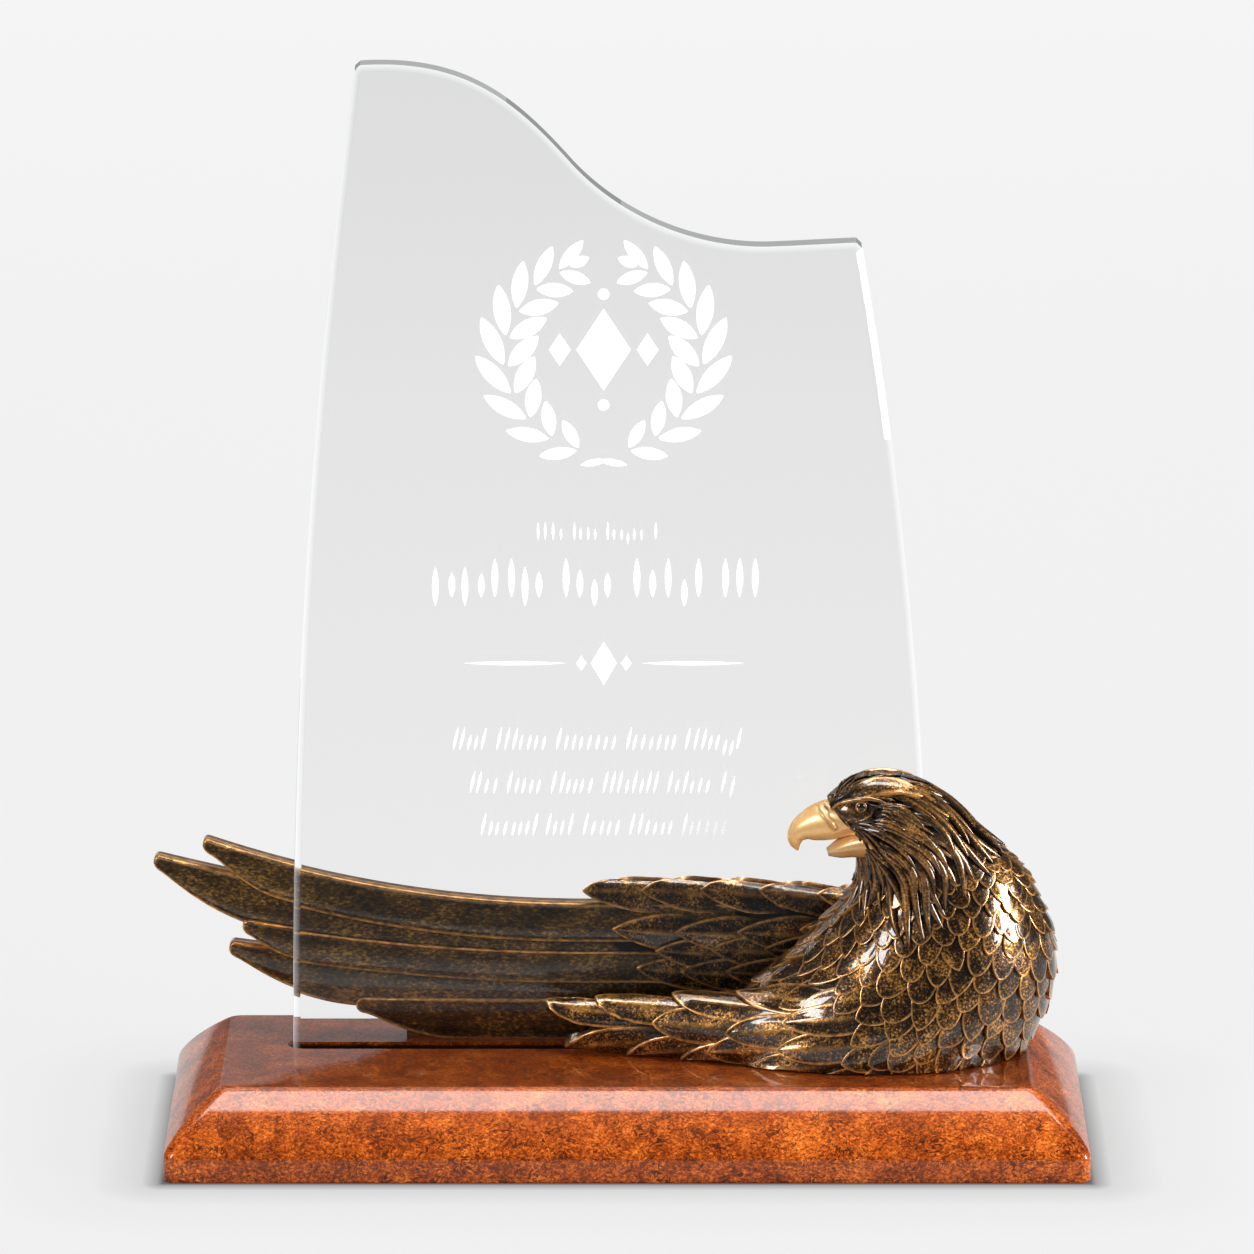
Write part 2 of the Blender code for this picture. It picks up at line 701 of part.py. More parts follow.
# Near wing's big feathers, front rows last: tip x, height and reach ahead, length, slope, half width
NEAR_FEATHERS = [
    (-22.5, 13.4, 2.2, 34, 0.02, 4.4),
    (-17.0, 2.8, 2.6, 32, 0.07, 4.4),
    (0.2, 1.2, 6.5, 30, 0.10, 4.4),
    (15.0, 0.8, 10.5, 30, 0.10, 4.4),
    (-8.8, 15.2, 3.6, 40, 0.02, 5.0),
    (7.6, 10.2, 8.0, 34, 0.03, 5.2),
    (12.6, 16.0, 6.0, 36, 0.04, 5.0),
    (22.5, 3.8, 13.0, 32, 0.10, 5.0),
    (28.0, 9.0, 13.5, 32, 0.12, 5.0),
    (30.5, 16.4, 9.0, 30, 0.12, 4.6),
    (33.0, -0.5, 17.0, 28, 0.12, 4.6),
    (42.0, 5.5, 19.0, 28, 0.16, 4.8),
    (44.0, 12.5, 17.5, 28, 0.2, 4.6),
]
# How far these feathers come forward from tip to root, as a share of their length
NEAR_FEATHER_SPLAY = 0.42


def near_wing_feathers(guide):
    shells = []
    for x, height, reach, length, slope, half_width in NEAR_FEATHERS:
        tip = np.array([x * UNIT, ahead(reach), up(height)])
        path = []
        for share in np.linspace(1, 0, PATH_STEPS):
            away = length * share
            path.append(tip + np.array([away, -NEAR_FEATHER_SPLAY * away, slope * away]) * UNIT)
        shells.append(laid_feather(guide, path, half_width, NEAR_WING_LIE))
    return shells


# Neck and head feathers: strands that leave the face and sweep back and down the neck

# Centre of the ring round the face (x, height) and its radius
FACE_CENTRE = (63.5, 71.5)
FACE_RADIUS = 9.5
# Centre of the ring round the neck (x, reach ahead, height), its radii in x and depth, and its rise along x
NECK_CENTRE = (84, 10.5, 49)
NECK_RADII = (22, 19)
NECK_RISE = 0.36
# Layers of strands, lowest first: count, where they start and end on their path, half width
HACKLE_LAYERS = [
    (26, 0.45, 1.0, 2.6),
    (24, 0.22, 0.78, 2.2),
    (20, 0.08, 0.5, 1.7),
]
STRAND_STEPS = 8
# Brow ridge: x, distance from the head's middle, height, radius
BROW = [
    (58.4, 4.0, 74.8, 0.9),
    (61.2, 6.2, 76.8, 1.3),
    (64.6, 7.6, 77.9, 1.4),
    (70, 8.8, 78.2, 0.7),
]
EYE = (64.2, 7.4, 75.4)
EYE_RADIUS = 1.7


def strand_path(angle, start_share, end_share):
    """A strand from the face ring to the neck ring, as points, with its two ends trimmed by the shares.

    angle 0 is the crown, 90 the near side, 180 the throat and 270 the far side."""
    c, s = math.cos(math.radians(angle)), math.sin(math.radians(angle))
    face = np.array([FACE_CENTRE[0] * UNIT, ahead(HEAD_DEPTH + FACE_RADIUS * s),
                     up(FACE_CENTRE[1] + FACE_RADIUS * c)])
    neck = np.array([(NECK_CENTRE[0] + NECK_RADII[0] * c) * UNIT, ahead(NECK_CENTRE[1] + NECK_RADII[1] * s),
                     up(NECK_CENTRE[2] + NECK_RISE * NECK_RADII[0] * c)])
    leaving = face + np.array([15 + 6 * c, 0, 3.5 * c]) * UNIT
    arriving = neck + np.array([-3 - 3 * c, 0, 13 + 2 * c]) * UNIT
    shares = np.linspace(start_share, end_share, STRAND_STEPS)
    return [bezier([face, leaving, arriving, neck], t) for t in shares]


def hackle_shells(guide):
    shells = []
    for layer, (count, first, last, half_width) in enumerate(HACKLE_LAYERS):
        for k in range(count):
            angle = 360 * (k + 0.5 * (layer % 2)) / count
            end = last + 0.05 * math.sin(2.4 * k + layer)
            shells.append(laid_feather(guide, strand_path(angle, first, end), half_width, HACKLE_LIE))
    return shells


def face_shells():
    """Brow ridges and eyes, on both sides of the head."""
    shells = []
    for side in (1, -1):
        rings = []
        for x, out, height, radius in BROW:
            rings.append(oval((0, 0), (radius, radius), lambda a, b, x=x, out=out, height=height: (
                x * UNIT, ahead(HEAD_DEPTH + side * (out + a)), up(height + b))))
        shells.append(loft(rings))
        eye = (EYE[0] * UNIT, ahead(HEAD_DEPTH + side * EYE[1]), up(EYE[2]))
        shells.append(ball(eye, EYE_RADIUS * UNIT))
    return shells


def largest_piece(mesh):
    """Leaves only the mesh's biggest connected piece, so that no sealed pocket stays inside."""
    shape = bmesh.new()
    shape.from_mesh(mesh)
    shape.verts.ensure_lookup_table()
    seen = set()
    pieces = []
    for start in shape.verts:
        if start.index in seen:
            continue
        seen.add(start.index)
        piece, queue = [], [start]
        while queue:
            here = queue.pop()
            piece.append(here)
            for edge in here.link_edges:
                other = edge.other_vert(here)
                if other.index not in seen:
                    seen.add(other.index)
                    queue.append(other)
        pieces.append(piece)
    keep = max(pieces, key=len)
    drop = [v for piece in pieces if piece is not keep for v in piece]
    bmesh.ops.delete(shape, geom=drop, context="VERTS")
    shape.to_mesh(mesh)
    shape.free()


def build_eagle():
    bronze = material("antique bronze finish", BRONZE_COLOUR, 0.3, 0.8)
    body = Guide([body_shell(), near_wing_shell(NEAR_WING_SECTIONS)], "body_guide")
    longer_wing = NEAR_WING_SECTIONS + NEAR_WING_GUIDE_SECTIONS
    wing = Guide([body_shell(), near_wing_shell(longer_wing)], "wing_guide")
    shells = [body.shell(), beak_shell(UPPER_BEAK), beak_shell(LOWER_BEAK)]
    arm = Guide([arm_shell()], "arm_guide")
    shells.append(arm.shell())
    shells += primary_shells()
    shells += covert_feathers(arm)
    shells += near_wing_feathers(wing)
    shells += scale_shells(body)
    shells += hackle_shells(body)
    shells += face_shells()
    rough = add_object("eagle_rough", mesh_of("eagle_rough", joined(shells)))
    fuse(rough, FUSE_VOXEL)
    form = baked(rough, "eagle")
    largest_piece(form)
    eagle = add_object("eagle", form, bronze)
    thin = eagle.modifiers.new("Thin", "DECIMATE")
    thin.ratio = TRIANGLE_SHARE
    thin.use_collapse_triangulate = True
    cut(eagle, box_between("slit_cutter", (-CUTTER_REACH, SLIT_FRONT, -CUTTER_REACH),
                           (GLASS_RIGHT + FIT_GAP, SLIT_BACK, CUTTER_REACH)))
    cut(eagle, box_between("floor_cutter", (-CUTTER_REACH, -CUTTER_REACH, -CUTTER_REACH),
                           (CUTTER_REACH, CUTTER_REACH, PLINTH_TOP + FIT_GAP)))


def main():
    clear_scene()
    build_plinth()
    build_glass()
    build_eagle()


main()
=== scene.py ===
import collections
import itertools
import math
from typing import NamedTuple

import bmesh
import bpy
import numpy as np
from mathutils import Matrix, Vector
from mathutils.bvhtree import BVHTree
from mathutils.interpolate import poly_3d_calc


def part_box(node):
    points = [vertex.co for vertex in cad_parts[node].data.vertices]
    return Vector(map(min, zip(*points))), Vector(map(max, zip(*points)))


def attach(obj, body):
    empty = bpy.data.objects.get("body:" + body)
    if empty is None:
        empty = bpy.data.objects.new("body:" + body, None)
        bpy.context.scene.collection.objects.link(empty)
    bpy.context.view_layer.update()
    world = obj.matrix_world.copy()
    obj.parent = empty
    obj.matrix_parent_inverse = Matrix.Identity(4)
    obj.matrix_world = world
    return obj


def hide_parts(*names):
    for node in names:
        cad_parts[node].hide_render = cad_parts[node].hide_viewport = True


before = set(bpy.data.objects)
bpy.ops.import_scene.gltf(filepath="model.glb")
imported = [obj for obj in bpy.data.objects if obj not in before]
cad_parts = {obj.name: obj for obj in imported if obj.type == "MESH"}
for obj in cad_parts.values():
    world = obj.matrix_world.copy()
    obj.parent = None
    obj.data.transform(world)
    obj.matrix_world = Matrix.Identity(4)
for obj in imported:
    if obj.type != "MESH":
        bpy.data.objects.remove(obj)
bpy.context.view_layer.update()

MM = 0.001
rng = np.random.default_rng(11)

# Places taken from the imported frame, in metres
PLINTH_LOW, PLINTH_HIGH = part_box("plinth")
GLASS_LOW, GLASS_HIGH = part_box("glass_panel")
PLINTH_TOP = PLINTH_HIGH.z
GLASS_FRONT = GLASS_LOW.y
GLASS_BACK = GLASS_HIGH.y
GLASS_PLANE_Y = (GLASS_FRONT + GLASS_BACK) / 2
FIT_GAP = 0.3 * MM
SLIT_FRONT = GLASS_FRONT - FIT_GAP
SLIT_BACK = GLASS_BACK + FIT_GAP
SLIT_RIGHT = GLASS_HIGH.x + FIT_GAP
# The eagle is drawn in units. Its design length is 251 of them
EAGLE_LENGTH = 251 * MM
EAGLE_UNITS = 251
UNIT = EAGLE_LENGTH / EAGLE_UNITS


def ahead(distance):
    """The y of a point this many units in front of the slit's front wall."""
    return SLIT_FRONT - distance * UNIT


def behind(distance):
    """The y of a point this many units behind the slit's back wall."""
    return SLIT_BACK + distance * UNIT


def up(height):
    """The z of a point this many units above the plinth's top."""
    return PLINTH_TOP + height * UNIT


def smoothstep(low, high, value):
    share = min(max((value - low) / (high - low), 0.0), 1.0)
    return share * share * (3 - 2 * share)


def bezier(controls, t):
    """The point at share t of the curve with these control points."""
    points = [np.array(p, float) for p in controls]
    while len(points) > 1:
        points = [a + (b - a) * t for a, b in zip(points, points[1:])]
    return points[0]


# Meshes


def loft(rings):
    """A closed shell through rings of equal counts, with a flat cap at each end, as (points, faces)."""
    count = len(rings[0])
    points = [tuple(p) for ring in rings for p in ring]
    faces = [tuple(reversed(range(count)))]
    for level in range(len(rings) - 1):
        low, high = level * count, (level + 1) * count
        for k in range(count):
            after = (k + 1) % count
            faces.append((low + k, low + after, high + after, high + k))
    faces.append(tuple((len(rings) - 1) * count + k for k in range(count)))
    return points, faces


def joined(shells):
    points, faces = [], []
    for shell_points, shell_faces in shells:
        start = len(points)
        points += shell_points
        faces += [tuple(start + k for k in face) for face in shell_faces]
    return points, faces


def mesh_of(name, shell):
    """A mesh from (points, faces), with the faces of each shell in it turned outwards."""
    mesh = bpy.data.meshes.new(name)
    mesh.from_pydata([tuple(map(float, p)) for p in shell[0]], [], shell[1])
    shape = bmesh.new()
    shape.from_mesh(mesh)
    bmesh.ops.recalc_face_normals(shape, faces=shape.faces)
    shape.to_mesh(mesh)
    shape.free()
    return mesh


def add_object(name, mesh, finish=None):
    obj = bpy.data.objects.new(name, mesh)
    bpy.context.scene.collection.objects.link(obj)
    if finish:
        mesh.materials.append(finish)
    return obj


def baked(obj, name):
    """The object's mesh with its modifiers applied. The object itself is removed."""
    bpy.context.view_layer.update()
    graph = bpy.context.evaluated_depsgraph_get()
    mesh = bpy.data.meshes.new_from_object(obj.evaluated_get(graph))
    mesh.name = name
    bpy.data.objects.remove(obj, do_unlink=True)
    return mesh


def cut(obj, cutter):
    made = obj.modifiers.new("Cut", "BOOLEAN")
    made.operation = "DIFFERENCE"
    made.solver = "EXACT"
    made.object = cutter


def box_between(low, high):
    corners = ((low[0], low[1]), (high[0], low[1]), (high[0], high[1]), (low[0], high[1]))
    rings = [[(x, y, z) for x, y in corners] for z in (low[2], high[2])]
    return add_object("cutter", mesh_of("cutter", loft(rings)))


def smooth_shaded(mesh, angle):
    mesh.polygons.foreach_set("use_smooth", [True] * len(mesh.polygons))
    mesh.set_sharp_from_angle(angle=math.radians(angle))


def part_of(obj, node):
    """Hangs the piece on the root body and hides the frame's node that it stands for."""
    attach(obj, "root")
    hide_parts(node)


# Materials


class Nodes:
    """Short calls for building a material's node tree. Places are object coordinates in metres."""

    def __init__(self, name):
        self.material = bpy.data.materials.new(name)
        self.material.use_nodes = True
        self.tree = self.material.node_tree
        self.shader = self.tree.nodes["Principled BSDF"]
        self.place = self.tree.nodes.new("ShaderNodeTexCoord").outputs["Object"]

    def set(self, **values):
        """Plain values on the shader's sockets. Underscores stand for spaces."""
        for socket, value in values.items():
            self.shader.inputs[socket.replace("_", " ")].default_value = value

    def link(self, output, socket):
        self.tree.links.new(output, socket)

    def into(self, socket, output):
        self.link(output, self.shader.inputs[socket])

    def stretched(self, scale):
        node = self.tree.nodes.new("ShaderNodeMapping")
        node.inputs["Scale"].default_value = scale
        self.link(self.place, node.inputs["Vector"])
        return node.outputs["Vector"]

    def noise(self, scale, detail=3.0, roughness=0.5, distortion=0.0, where=None):
        node = self.tree.nodes.new("ShaderNodeTexNoise")
        node.inputs["Scale"].default_value = scale
        node.inputs["Detail"].default_value = detail
        node.inputs["Roughness"].default_value = roughness
        node.inputs["Distortion"].default_value = distortion
        self.link(where or self.place, node.inputs["Vector"])
        return node.outputs["Fac"]

    def cells(self, scale):
        node = self.tree.nodes.new("ShaderNodeTexVoronoi")
        node.inputs["Scale"].default_value = scale
        self.link(self.place, node.inputs["Vector"])
        return node.outputs["Distance"]

    def attribute(self, name):
        node = self.tree.nodes.new("ShaderNodeAttribute")
        node.attribute_name = name
        return node.outputs["Fac"]

    def maths(self, operation, first, second=None):
        node = self.tree.nodes.new("ShaderNodeMath")
        node.operation = operation
        for socket, value in zip(node.inputs, (first, second)):
            if value is None:
                continue
            if isinstance(value, (int, float)):
                socket.default_value = value
            else:
                self.link(value, socket)
        return node.outputs["Value"]

    def times(self, first, second):
        return self.maths("MULTIPLY", first, second)

    def plus(self, first, second):
        return self.maths("ADD", first, second)

    def axis(self, letter):
        """One coordinate of the place on the object."""
        node = self.tree.nodes.new("ShaderNodeSeparateXYZ")
        self.link(self.place, node.inputs["Vector"])
        return node.outputs[letter]

    def span(self, value, start, end, low=0.0, high=1.0):
        """A value carried from one range to another, and held at the ends."""
        node = self.tree.nodes.new("ShaderNodeMapRange")
        self.link(value, node.inputs["Value"])
        numbers = {"From Min": start, "From Max": end, "To Min": low, "To Max": high}
        for label, number in numbers.items():
            node.inputs[label].default_value = number
        return node.outputs["Result"]

    def ramp(self, value, stops):
        """A colour ramp through (place, colour) stops."""
        node = self.tree.nodes.new("ShaderNodeValToRGB")
        elements = node.color_ramp.elements
        while len(elements) < len(stops):
            elements.new(0.5)
        for element, (place, colour) in zip(elements, stops):
            element.position = place
            element.color = (*colour, 1)
        self.link(value, node.inputs["Fac"])
        return node.outputs["Color"]

    def mix(self, share, first, second):
        node = self.tree.nodes.new("ShaderNodeMix")
        node.data_type = "RGBA"
        inputs = (node.inputs[0], node.inputs[6], node.inputs[7])
        for socket, value in zip(inputs, (share, first, second)):
            if isinstance(value, (int, float)):
                socket.default_value = value
            elif isinstance(value, tuple):
                socket.default_value = (*value, 1)
            else:
                self.link(value, socket)
        return node.outputs[2]

    def bump(self, height, distance, strength=1.0):
        node = self.tree.nodes.new("ShaderNodeBump")
        node.inputs["Distance"].default_value = distance
        node.inputs["Strength"].default_value = strength
        self.link(height, node.inputs["Height"])
        self.link(node.outputs["Normal"], self.shader.inputs["Normal"])


def srgb(r, g, b):
    """A colour given in the 0 to 255 values of a picture, as linear light."""
    return tuple(((c / 255 + 0.055) / 1.055) ** 2.4 if c > 10 else c / 255 / 12.92 for c in (r, g, b))


# Shades of the two bronze finishes, of the beak and of the wood, from dark to light
SPECKLED = [(0.60, srgb(13, 8, 3)), (0.72, srgb(42, 26, 10)), (0.82, srgb(112, 72, 28)),
            (0.94, srgb(216, 156, 74))]
STREAKED = [(0.50, srgb(25, 17, 5)), (0.66, srgb(53, 36, 11)), (0.80, srgb(94, 66, 24)),
            (0.94, srgb(170, 126, 55))]
GOLD = [(0.3, srgb(240, 166, 96)), (0.5, srgb(255, 198, 126)), (0.72, srgb(255, 222, 160))]
BURL = [(0.38, srgb(90, 34, 8)), (0.47, srgb(150, 62, 14)), (0.56, srgb(208, 98, 28)),
        (0.66, srgb(246, 146, 60))]
RUBBED_COPPER = srgb(230, 164, 86)
PATINA_AND_SHADE_BLACK = srgb(7, 4, 2)


def bronze_material(name, shades, stretch=1.0):
    """Antique bronze lacquer: copper rims, rusty gold speckle on the faces, and near-black in the hollows, as
    dark patina together with painted shade.
    """
    made = Nodes(name)
    where = made.stretched((stretch, 1, 1))
    speckle = made.noise(1500, 4, 0.65, 0.3, where)
    patches = made.noise(150, 2, 0.5, 0.0, where)
    base = made.ramp(made.plus(speckle, made.times(patches, 0.5)), shades)
    wear = made.span(made.noise(380, 3, 0.6), 0.36, 0.62, 0.25, 1.0)
    copper = made.mix(made.times(made.attribute("rim"), wear), base, RUBBED_COPPER)
    # Near-black: the finish's dark patina, and painted shade under overlapping feathers and on their
    # undersides
    patina_and_shade = made.times(made.attribute("patina_and_shade"), 0.95)
    made.into("Base Color", made.mix(patina_and_shade, copper, PATINA_AND_SHADE_BLACK))
    made.set(Metallic=0.6, Roughness=0.3, Coat_Weight=1.0, Coat_Roughness=0.04)
    grain = made.noise(700, 3, 0.6, 0.0, where)
    made.bump(made.plus(grain, made.times(made.noise(180, 2), 0.8)), 0.00016, 0.7)
    return made.material


def dark_material():
    """The matt dark casting that shows between the feathers."""
    made = Nodes("dark casting")
    shade = made.ramp(made.noise(900, 3, 0.6), [(0.4, srgb(12, 8, 4)), (0.7, srgb(38, 26, 13))])
    made.into("Base Color", shade)
    made.set(Metallic=0.2, Roughness=0.6)
    return made.material


def beak_material():
    """Satin gold lacquer, brown where painted shade is laid: in the nostril, beside the line before it and in
    the open beak.
    """
    made = Nodes("gold lacquer")
    fine = made.noise(900, 3, 0.6)
    shade = made.plus(made.times(made.noise(90, 2), 0.6), made.times(fine, 0.4))
    made.into("Base Color", made.mix(made.attribute("patina_and_shade"), made.ramp(shade, GOLD), srgb(92, 52, 24)))
    made.set(Metallic=0.3, Roughness=0.36, Coat_Weight=0.6, Coat_Roughness=0.12)
    made.bump(fine, 0.00006, 0.6)
    return made.material


def eye_material():
    made = Nodes("dark lacquer")
    made.into("Base Color", made.ramp(made.noise(700, 2), [(0.35, srgb(12, 8, 5)), (0.7, srgb(46, 30, 16))]))
    made.set(Metallic=0.3, Roughness=0.15, Coat_Weight=1.0, Coat_Roughness=0.03)
    return made.material


# Painted shade on the slot's walls: from none to full in depth, and in half width and half length inwards
SHADE_DEPTHS = (PLINTH_TOP - 0.4 * MM, PLINTH_TOP - 1.2 * MM)
SHADE_HALF_WIDTHS, SHADE_HALF_LENGTHS = (8 * MM, 7.5 * MM), (110 * MM, 109 * MM)


def slot_painted_shade(made):
    """The painted shade in the slot: 1 on its walls below the plinth's top, and 0 on all other wood."""
    off_middle = made.maths("ABSOLUTE", made.maths("SUBTRACT", made.axis("Y"), GLASS_PLANE_Y))
    inside = made.times(made.span(made.axis("Z"), *SHADE_DEPTHS), made.span(off_middle, *SHADE_HALF_WIDTHS))
    return made.times(inside, made.span(made.maths("ABSOLUTE", made.axis("X")), *SHADE_HALF_LENGTHS))


def wood_material():
    """Burl rosewood under gloss lacquer: orange-brown with fine dark curls, soft clouds and pores, with
    painted shade on its top face and in the slot.
    """
    made = Nodes("lacquered rosewood burl")
    along = made.stretched((0.75, 1, 1))
    contour = made.noise(300, 1, 0.4, 1.8, along)
    curls = made.span(made.maths("SINE", made.times(contour, 30.0)), 0.35, 0.85)
    patches = made.span(made.noise(150, 3, 0.6, 0.8), 0.38, 0.6, 0.25, 0.9)
    fine = made.noise(1300, 3, 0.7, 0.4, along)
    cloud = made.noise(90, 4, 0.7, 0.6)
    wood = made.ramp(made.plus(made.times(fine, 0.58), made.times(cloud, 0.42)), BURL)
    pores = made.times(made.span(made.cells(1100), 0.3, 0.2), 0.6)
    # Painted shade: the top face is darker than the bevel and the band
    top_painted_shade = made.span(made.axis("Z"), PLINTH_TOP - 0.5 * MM, PLINTH_TOP - 0.1 * MM, 0.0, 0.5)
    for share, darker in ((made.times(curls, patches), srgb(46, 17, 4)), (pores, srgb(40, 14, 4)),
                          (top_painted_shade, srgb(60, 20, 5)), (slot_painted_shade(made), srgb(12, 4, 2))):
        wood = made.mix(share, wood, darker)
    made.into("Base Color", wood)
    made.set(Roughness=0.42, Coat_Weight=0.7, Coat_Roughness=0.07, Specular_Tint=(*srgb(255, 140, 70), 1))
    made.bump(made.noise(500, 2), 0.00003, 0.3)
    return made.material


def glass_material():
    """Clear glass whose chamfered edges carry painted light: a grey painted shade and a faint painted glow.
    It is a little greyer towards its top.
    """
    made = Nodes("clear optical glass")
    tint = made.ramp(made.axis("Z"), [(0.06, (0.965, 0.965, 0.965)), (0.2, (0.905, 0.905, 0.905)),
                                      (0.3, (0.82, 0.822, 0.822))])
    # The chamfers get a painted shade in their colour and a painted glow, though they give no light
    edge = made.attribute("rim")
    made.into("Base Color", made.mix(made.times(edge, 0.6), tint, (0.6, 0.62, 0.62)))
    made.into("Emission Color", made.mix(edge, (0.0, 0.0, 0.0), (0.9, 0.92, 0.93)))
    made.set(Roughness=0.0, IOR=1.5, Transmission_Weight=1.0, Emission_Strength=0.3)
    made.set(Specular_Tint=(0.35, 0.35, 0.35, 1))
    return made.material


def engraving_material():
    made = Nodes("frosted engraving")
    frost_and_glow = made.ramp(made.noise(1800, 3, 0.7), [(0.3, (0.86, 0.87, 0.88)), (0.7, (1.0, 1.0, 1.0))])
    made.into("Base Color", frost_and_glow)
    # Painted glow: the frosted strokes give off a little light, to look brighter than lit white
    made.into("Emission Color", frost_and_glow)
    made.set(Roughness=0.8, Emission_Strength=0.35)
    made.bump(made.noise(1500, 2), 0.00003, 0.5)
    return made.material


# Plinth


PLINTH_BAND = 7.5 * MM
BEVEL_RUN = 15.3 * MM
BEVEL_BULGE = (3.2 / 15.3, 6.5 / 15.5)
CORNER_RADIUS = 3 * MM
FOOT_EASE = 0.7 * MM
RIDGE_EASE = 1.1 * MM
CORNER_STEPS = 10
# Where the bevel's curve passes into the rounded ridges, as shares of it
BEVEL_SHARES = (0.12, 0.93)
FOOT_POINTS, LOW_RIDGE_POINTS, BEVEL_POINTS, TOP_RIDGE_POINTS = 5, 6, 15, 7
SLOT_DEPTH = 12 * MM
SLOT_END_ROOM = 1.8 * MM
SLOT_STEPS = 16


def rounded_rectangle(inset, z):
    middle_x = (PLINTH_LOW.x + PLINTH_HIGH.x) / 2
    middle_y = (PLINTH_LOW.y + PLINTH_HIGH.y) / 2
    half_length = (PLINTH_HIGH.x - PLINTH_LOW.x) / 2 - inset
    half_depth = (PLINTH_HIGH.y - PLINTH_LOW.y) / 2 - inset
    ring = []
    for corner, (sign_x, sign_y) in enumerate(((1, 1), (-1, 1), (-1, -1), (1, -1))):
        for step in range(CORNER_STEPS + 1):
            angle = math.radians(90 * corner + 90 * step / CORNER_STEPS)
            x = middle_x + sign_x * (half_length - CORNER_RADIUS) + CORNER_RADIUS * math.cos(angle)
            y = middle_y + sign_y * (half_depth - CORNER_RADIUS) + CORNER_RADIUS * math.sin(angle)
            ring.append((x, y, z))
    return ring


def plinth_profile():
    """(inset from the foot's outline, height) from the underside to the top, with every ridge rounded."""
    rise = PLINTH_TOP - PLINTH_BAND
    bulge = (BEVEL_BULGE[0] * BEVEL_RUN, PLINTH_BAND + BEVEL_BULGE[1] * rise)
    bevel = [(0.0, PLINTH_BAND), bulge, (BEVEL_RUN, PLINTH_TOP)]
    low_share, high_share = BEVEL_SHARES
    foot = [(FOOT_EASE, 0), (0, 0), (0, FOOT_EASE)]
    low_ridge = [(0, PLINTH_BAND - RIDGE_EASE), (0, PLINTH_BAND), bezier(bevel, low_share)]
    top_ridge = [bezier(bevel, high_share), (BEVEL_RUN, PLINTH_TOP), (BEVEL_RUN + RIDGE_EASE, PLINTH_TOP)]
    profile = [bezier(foot, t) for t in np.linspace(0, 1, FOOT_POINTS)]
    profile += [bezier(low_ridge, t) for t in np.linspace(0, 1, LOW_RIDGE_POINTS)]
    profile += [bezier(bevel, t) for t in np.linspace(low_share, high_share, BEVEL_POINTS)[1:-1]]
    profile += [bezier(top_ridge, t) for t in np.linspace(0, 1, TOP_RIDGE_POINTS)]
    return profile


def slot_ring(z):
    radius = (SLIT_BACK - SLIT_FRONT) / 2
    left = GLASS_LOW.x - SLOT_END_ROOM + radius
    right = GLASS_HIGH.x + SLOT_END_ROOM - radius
    ring = []
    for centre, start in ((right, -90), (left, 90)):
        for step in range(SLOT_STEPS + 1):
            angle = math.radians(start + 180 * step / SLOT_STEPS)
            ring.append((centre + radius * math.cos(angle), GLASS_PLANE_Y + radius * math.sin(angle), z))
    return ring


def build_plinth():
    block = loft([rounded_rectangle(*row) for row in plinth_profile()])
    plinth = add_object("plinth_rough", mesh_of("plinth", block))
    slot = loft([slot_ring(PLINTH_TOP - SLOT_DEPTH), slot_ring(PLINTH_TOP + SLOT_DEPTH)])
    cutter = add_object("slot_cutter", mesh_of("slot_cutter", slot))
    cut(plinth, cutter)
    mesh = baked(plinth, "plinth_wood")
    bpy.data.objects.remove(cutter, do_unlink=True)
    smooth_shaded(mesh, 50)
    part_of(add_object("plinth_wood", mesh, wood_material()), "plinth")


# Glass panel


GLASS_SHOULDER = 228.6 * MM
LEFT_BOW = 18.8 * MM
RIGHT_BOW = 19.9 * MM
EDGE_CHAMFER = 1.8 * MM
EDGE_CHAMFER_DEPTH = 1.2 * MM
GLASS_EDGE_STEPS = 60
GLASS_CORNER = 1.5 * MM
GLASS_CORNER_DROP = 0.2 * MM
# Control points of the top edge in shares of its length and of its drop: a crest, a trough, and a small lift
WAVE_CREST = [(0, 0), (0.205, -0.036), (0.305, 0.185), (0.417, 0.53)]
WAVE_TROUGH = [(0.417, 0.53), (0.512, 0.835), (0.667, 1.038), (0.83, 1.022)]
WAVE_LIFT = [(0.83, 1.022), (0.89, 1.016), (0.95, 1.005), (1, 1)]


def glass_outline():
    """The panel's outline in the xz plane, anticlockwise seen from the front, from its foot's left corner."""
    peak = GLASS_HIGH.z
    shoulder = PLINTH_TOP + GLASS_SHOULDER

    def bowed_edge(x, bow, top):
        heights = np.linspace(PLINTH_TOP, top, GLASS_EDGE_STEPS + 1)
        return [(x + bow * ((z - PLINTH_TOP) / (top - PLINTH_TOP)) ** 2, z) for z in heights]

    left = bowed_edge(GLASS_LOW.x, LEFT_BOW, peak - GLASS_CORNER)
    right = bowed_edge(GLASS_HIGH.x, -RIGHT_BOW, shoulder - GLASS_CORNER)
    start = np.array([left[-1][0] + GLASS_CORNER, peak - GLASS_CORNER_DROP])
    end = np.array([right[-1][0] - GLASS_CORNER, shoulder])

    def wave(controls, shares):
        return [tuple(start + (end - start) * bezier(controls, t)) for t in shares]

    steps = np.linspace(0, 1, GLASS_EDGE_STEPS + 1)
    top = wave(WAVE_CREST, steps) + wave(WAVE_TROUGH, steps[1:]) + wave(WAVE_LIFT, steps[6::6])
    return [(GLASS_LOW.x, GLASS_LOW.z), (GLASS_HIGH.x, GLASS_LOW.z)] + right + top[::-1] + left[::-1]


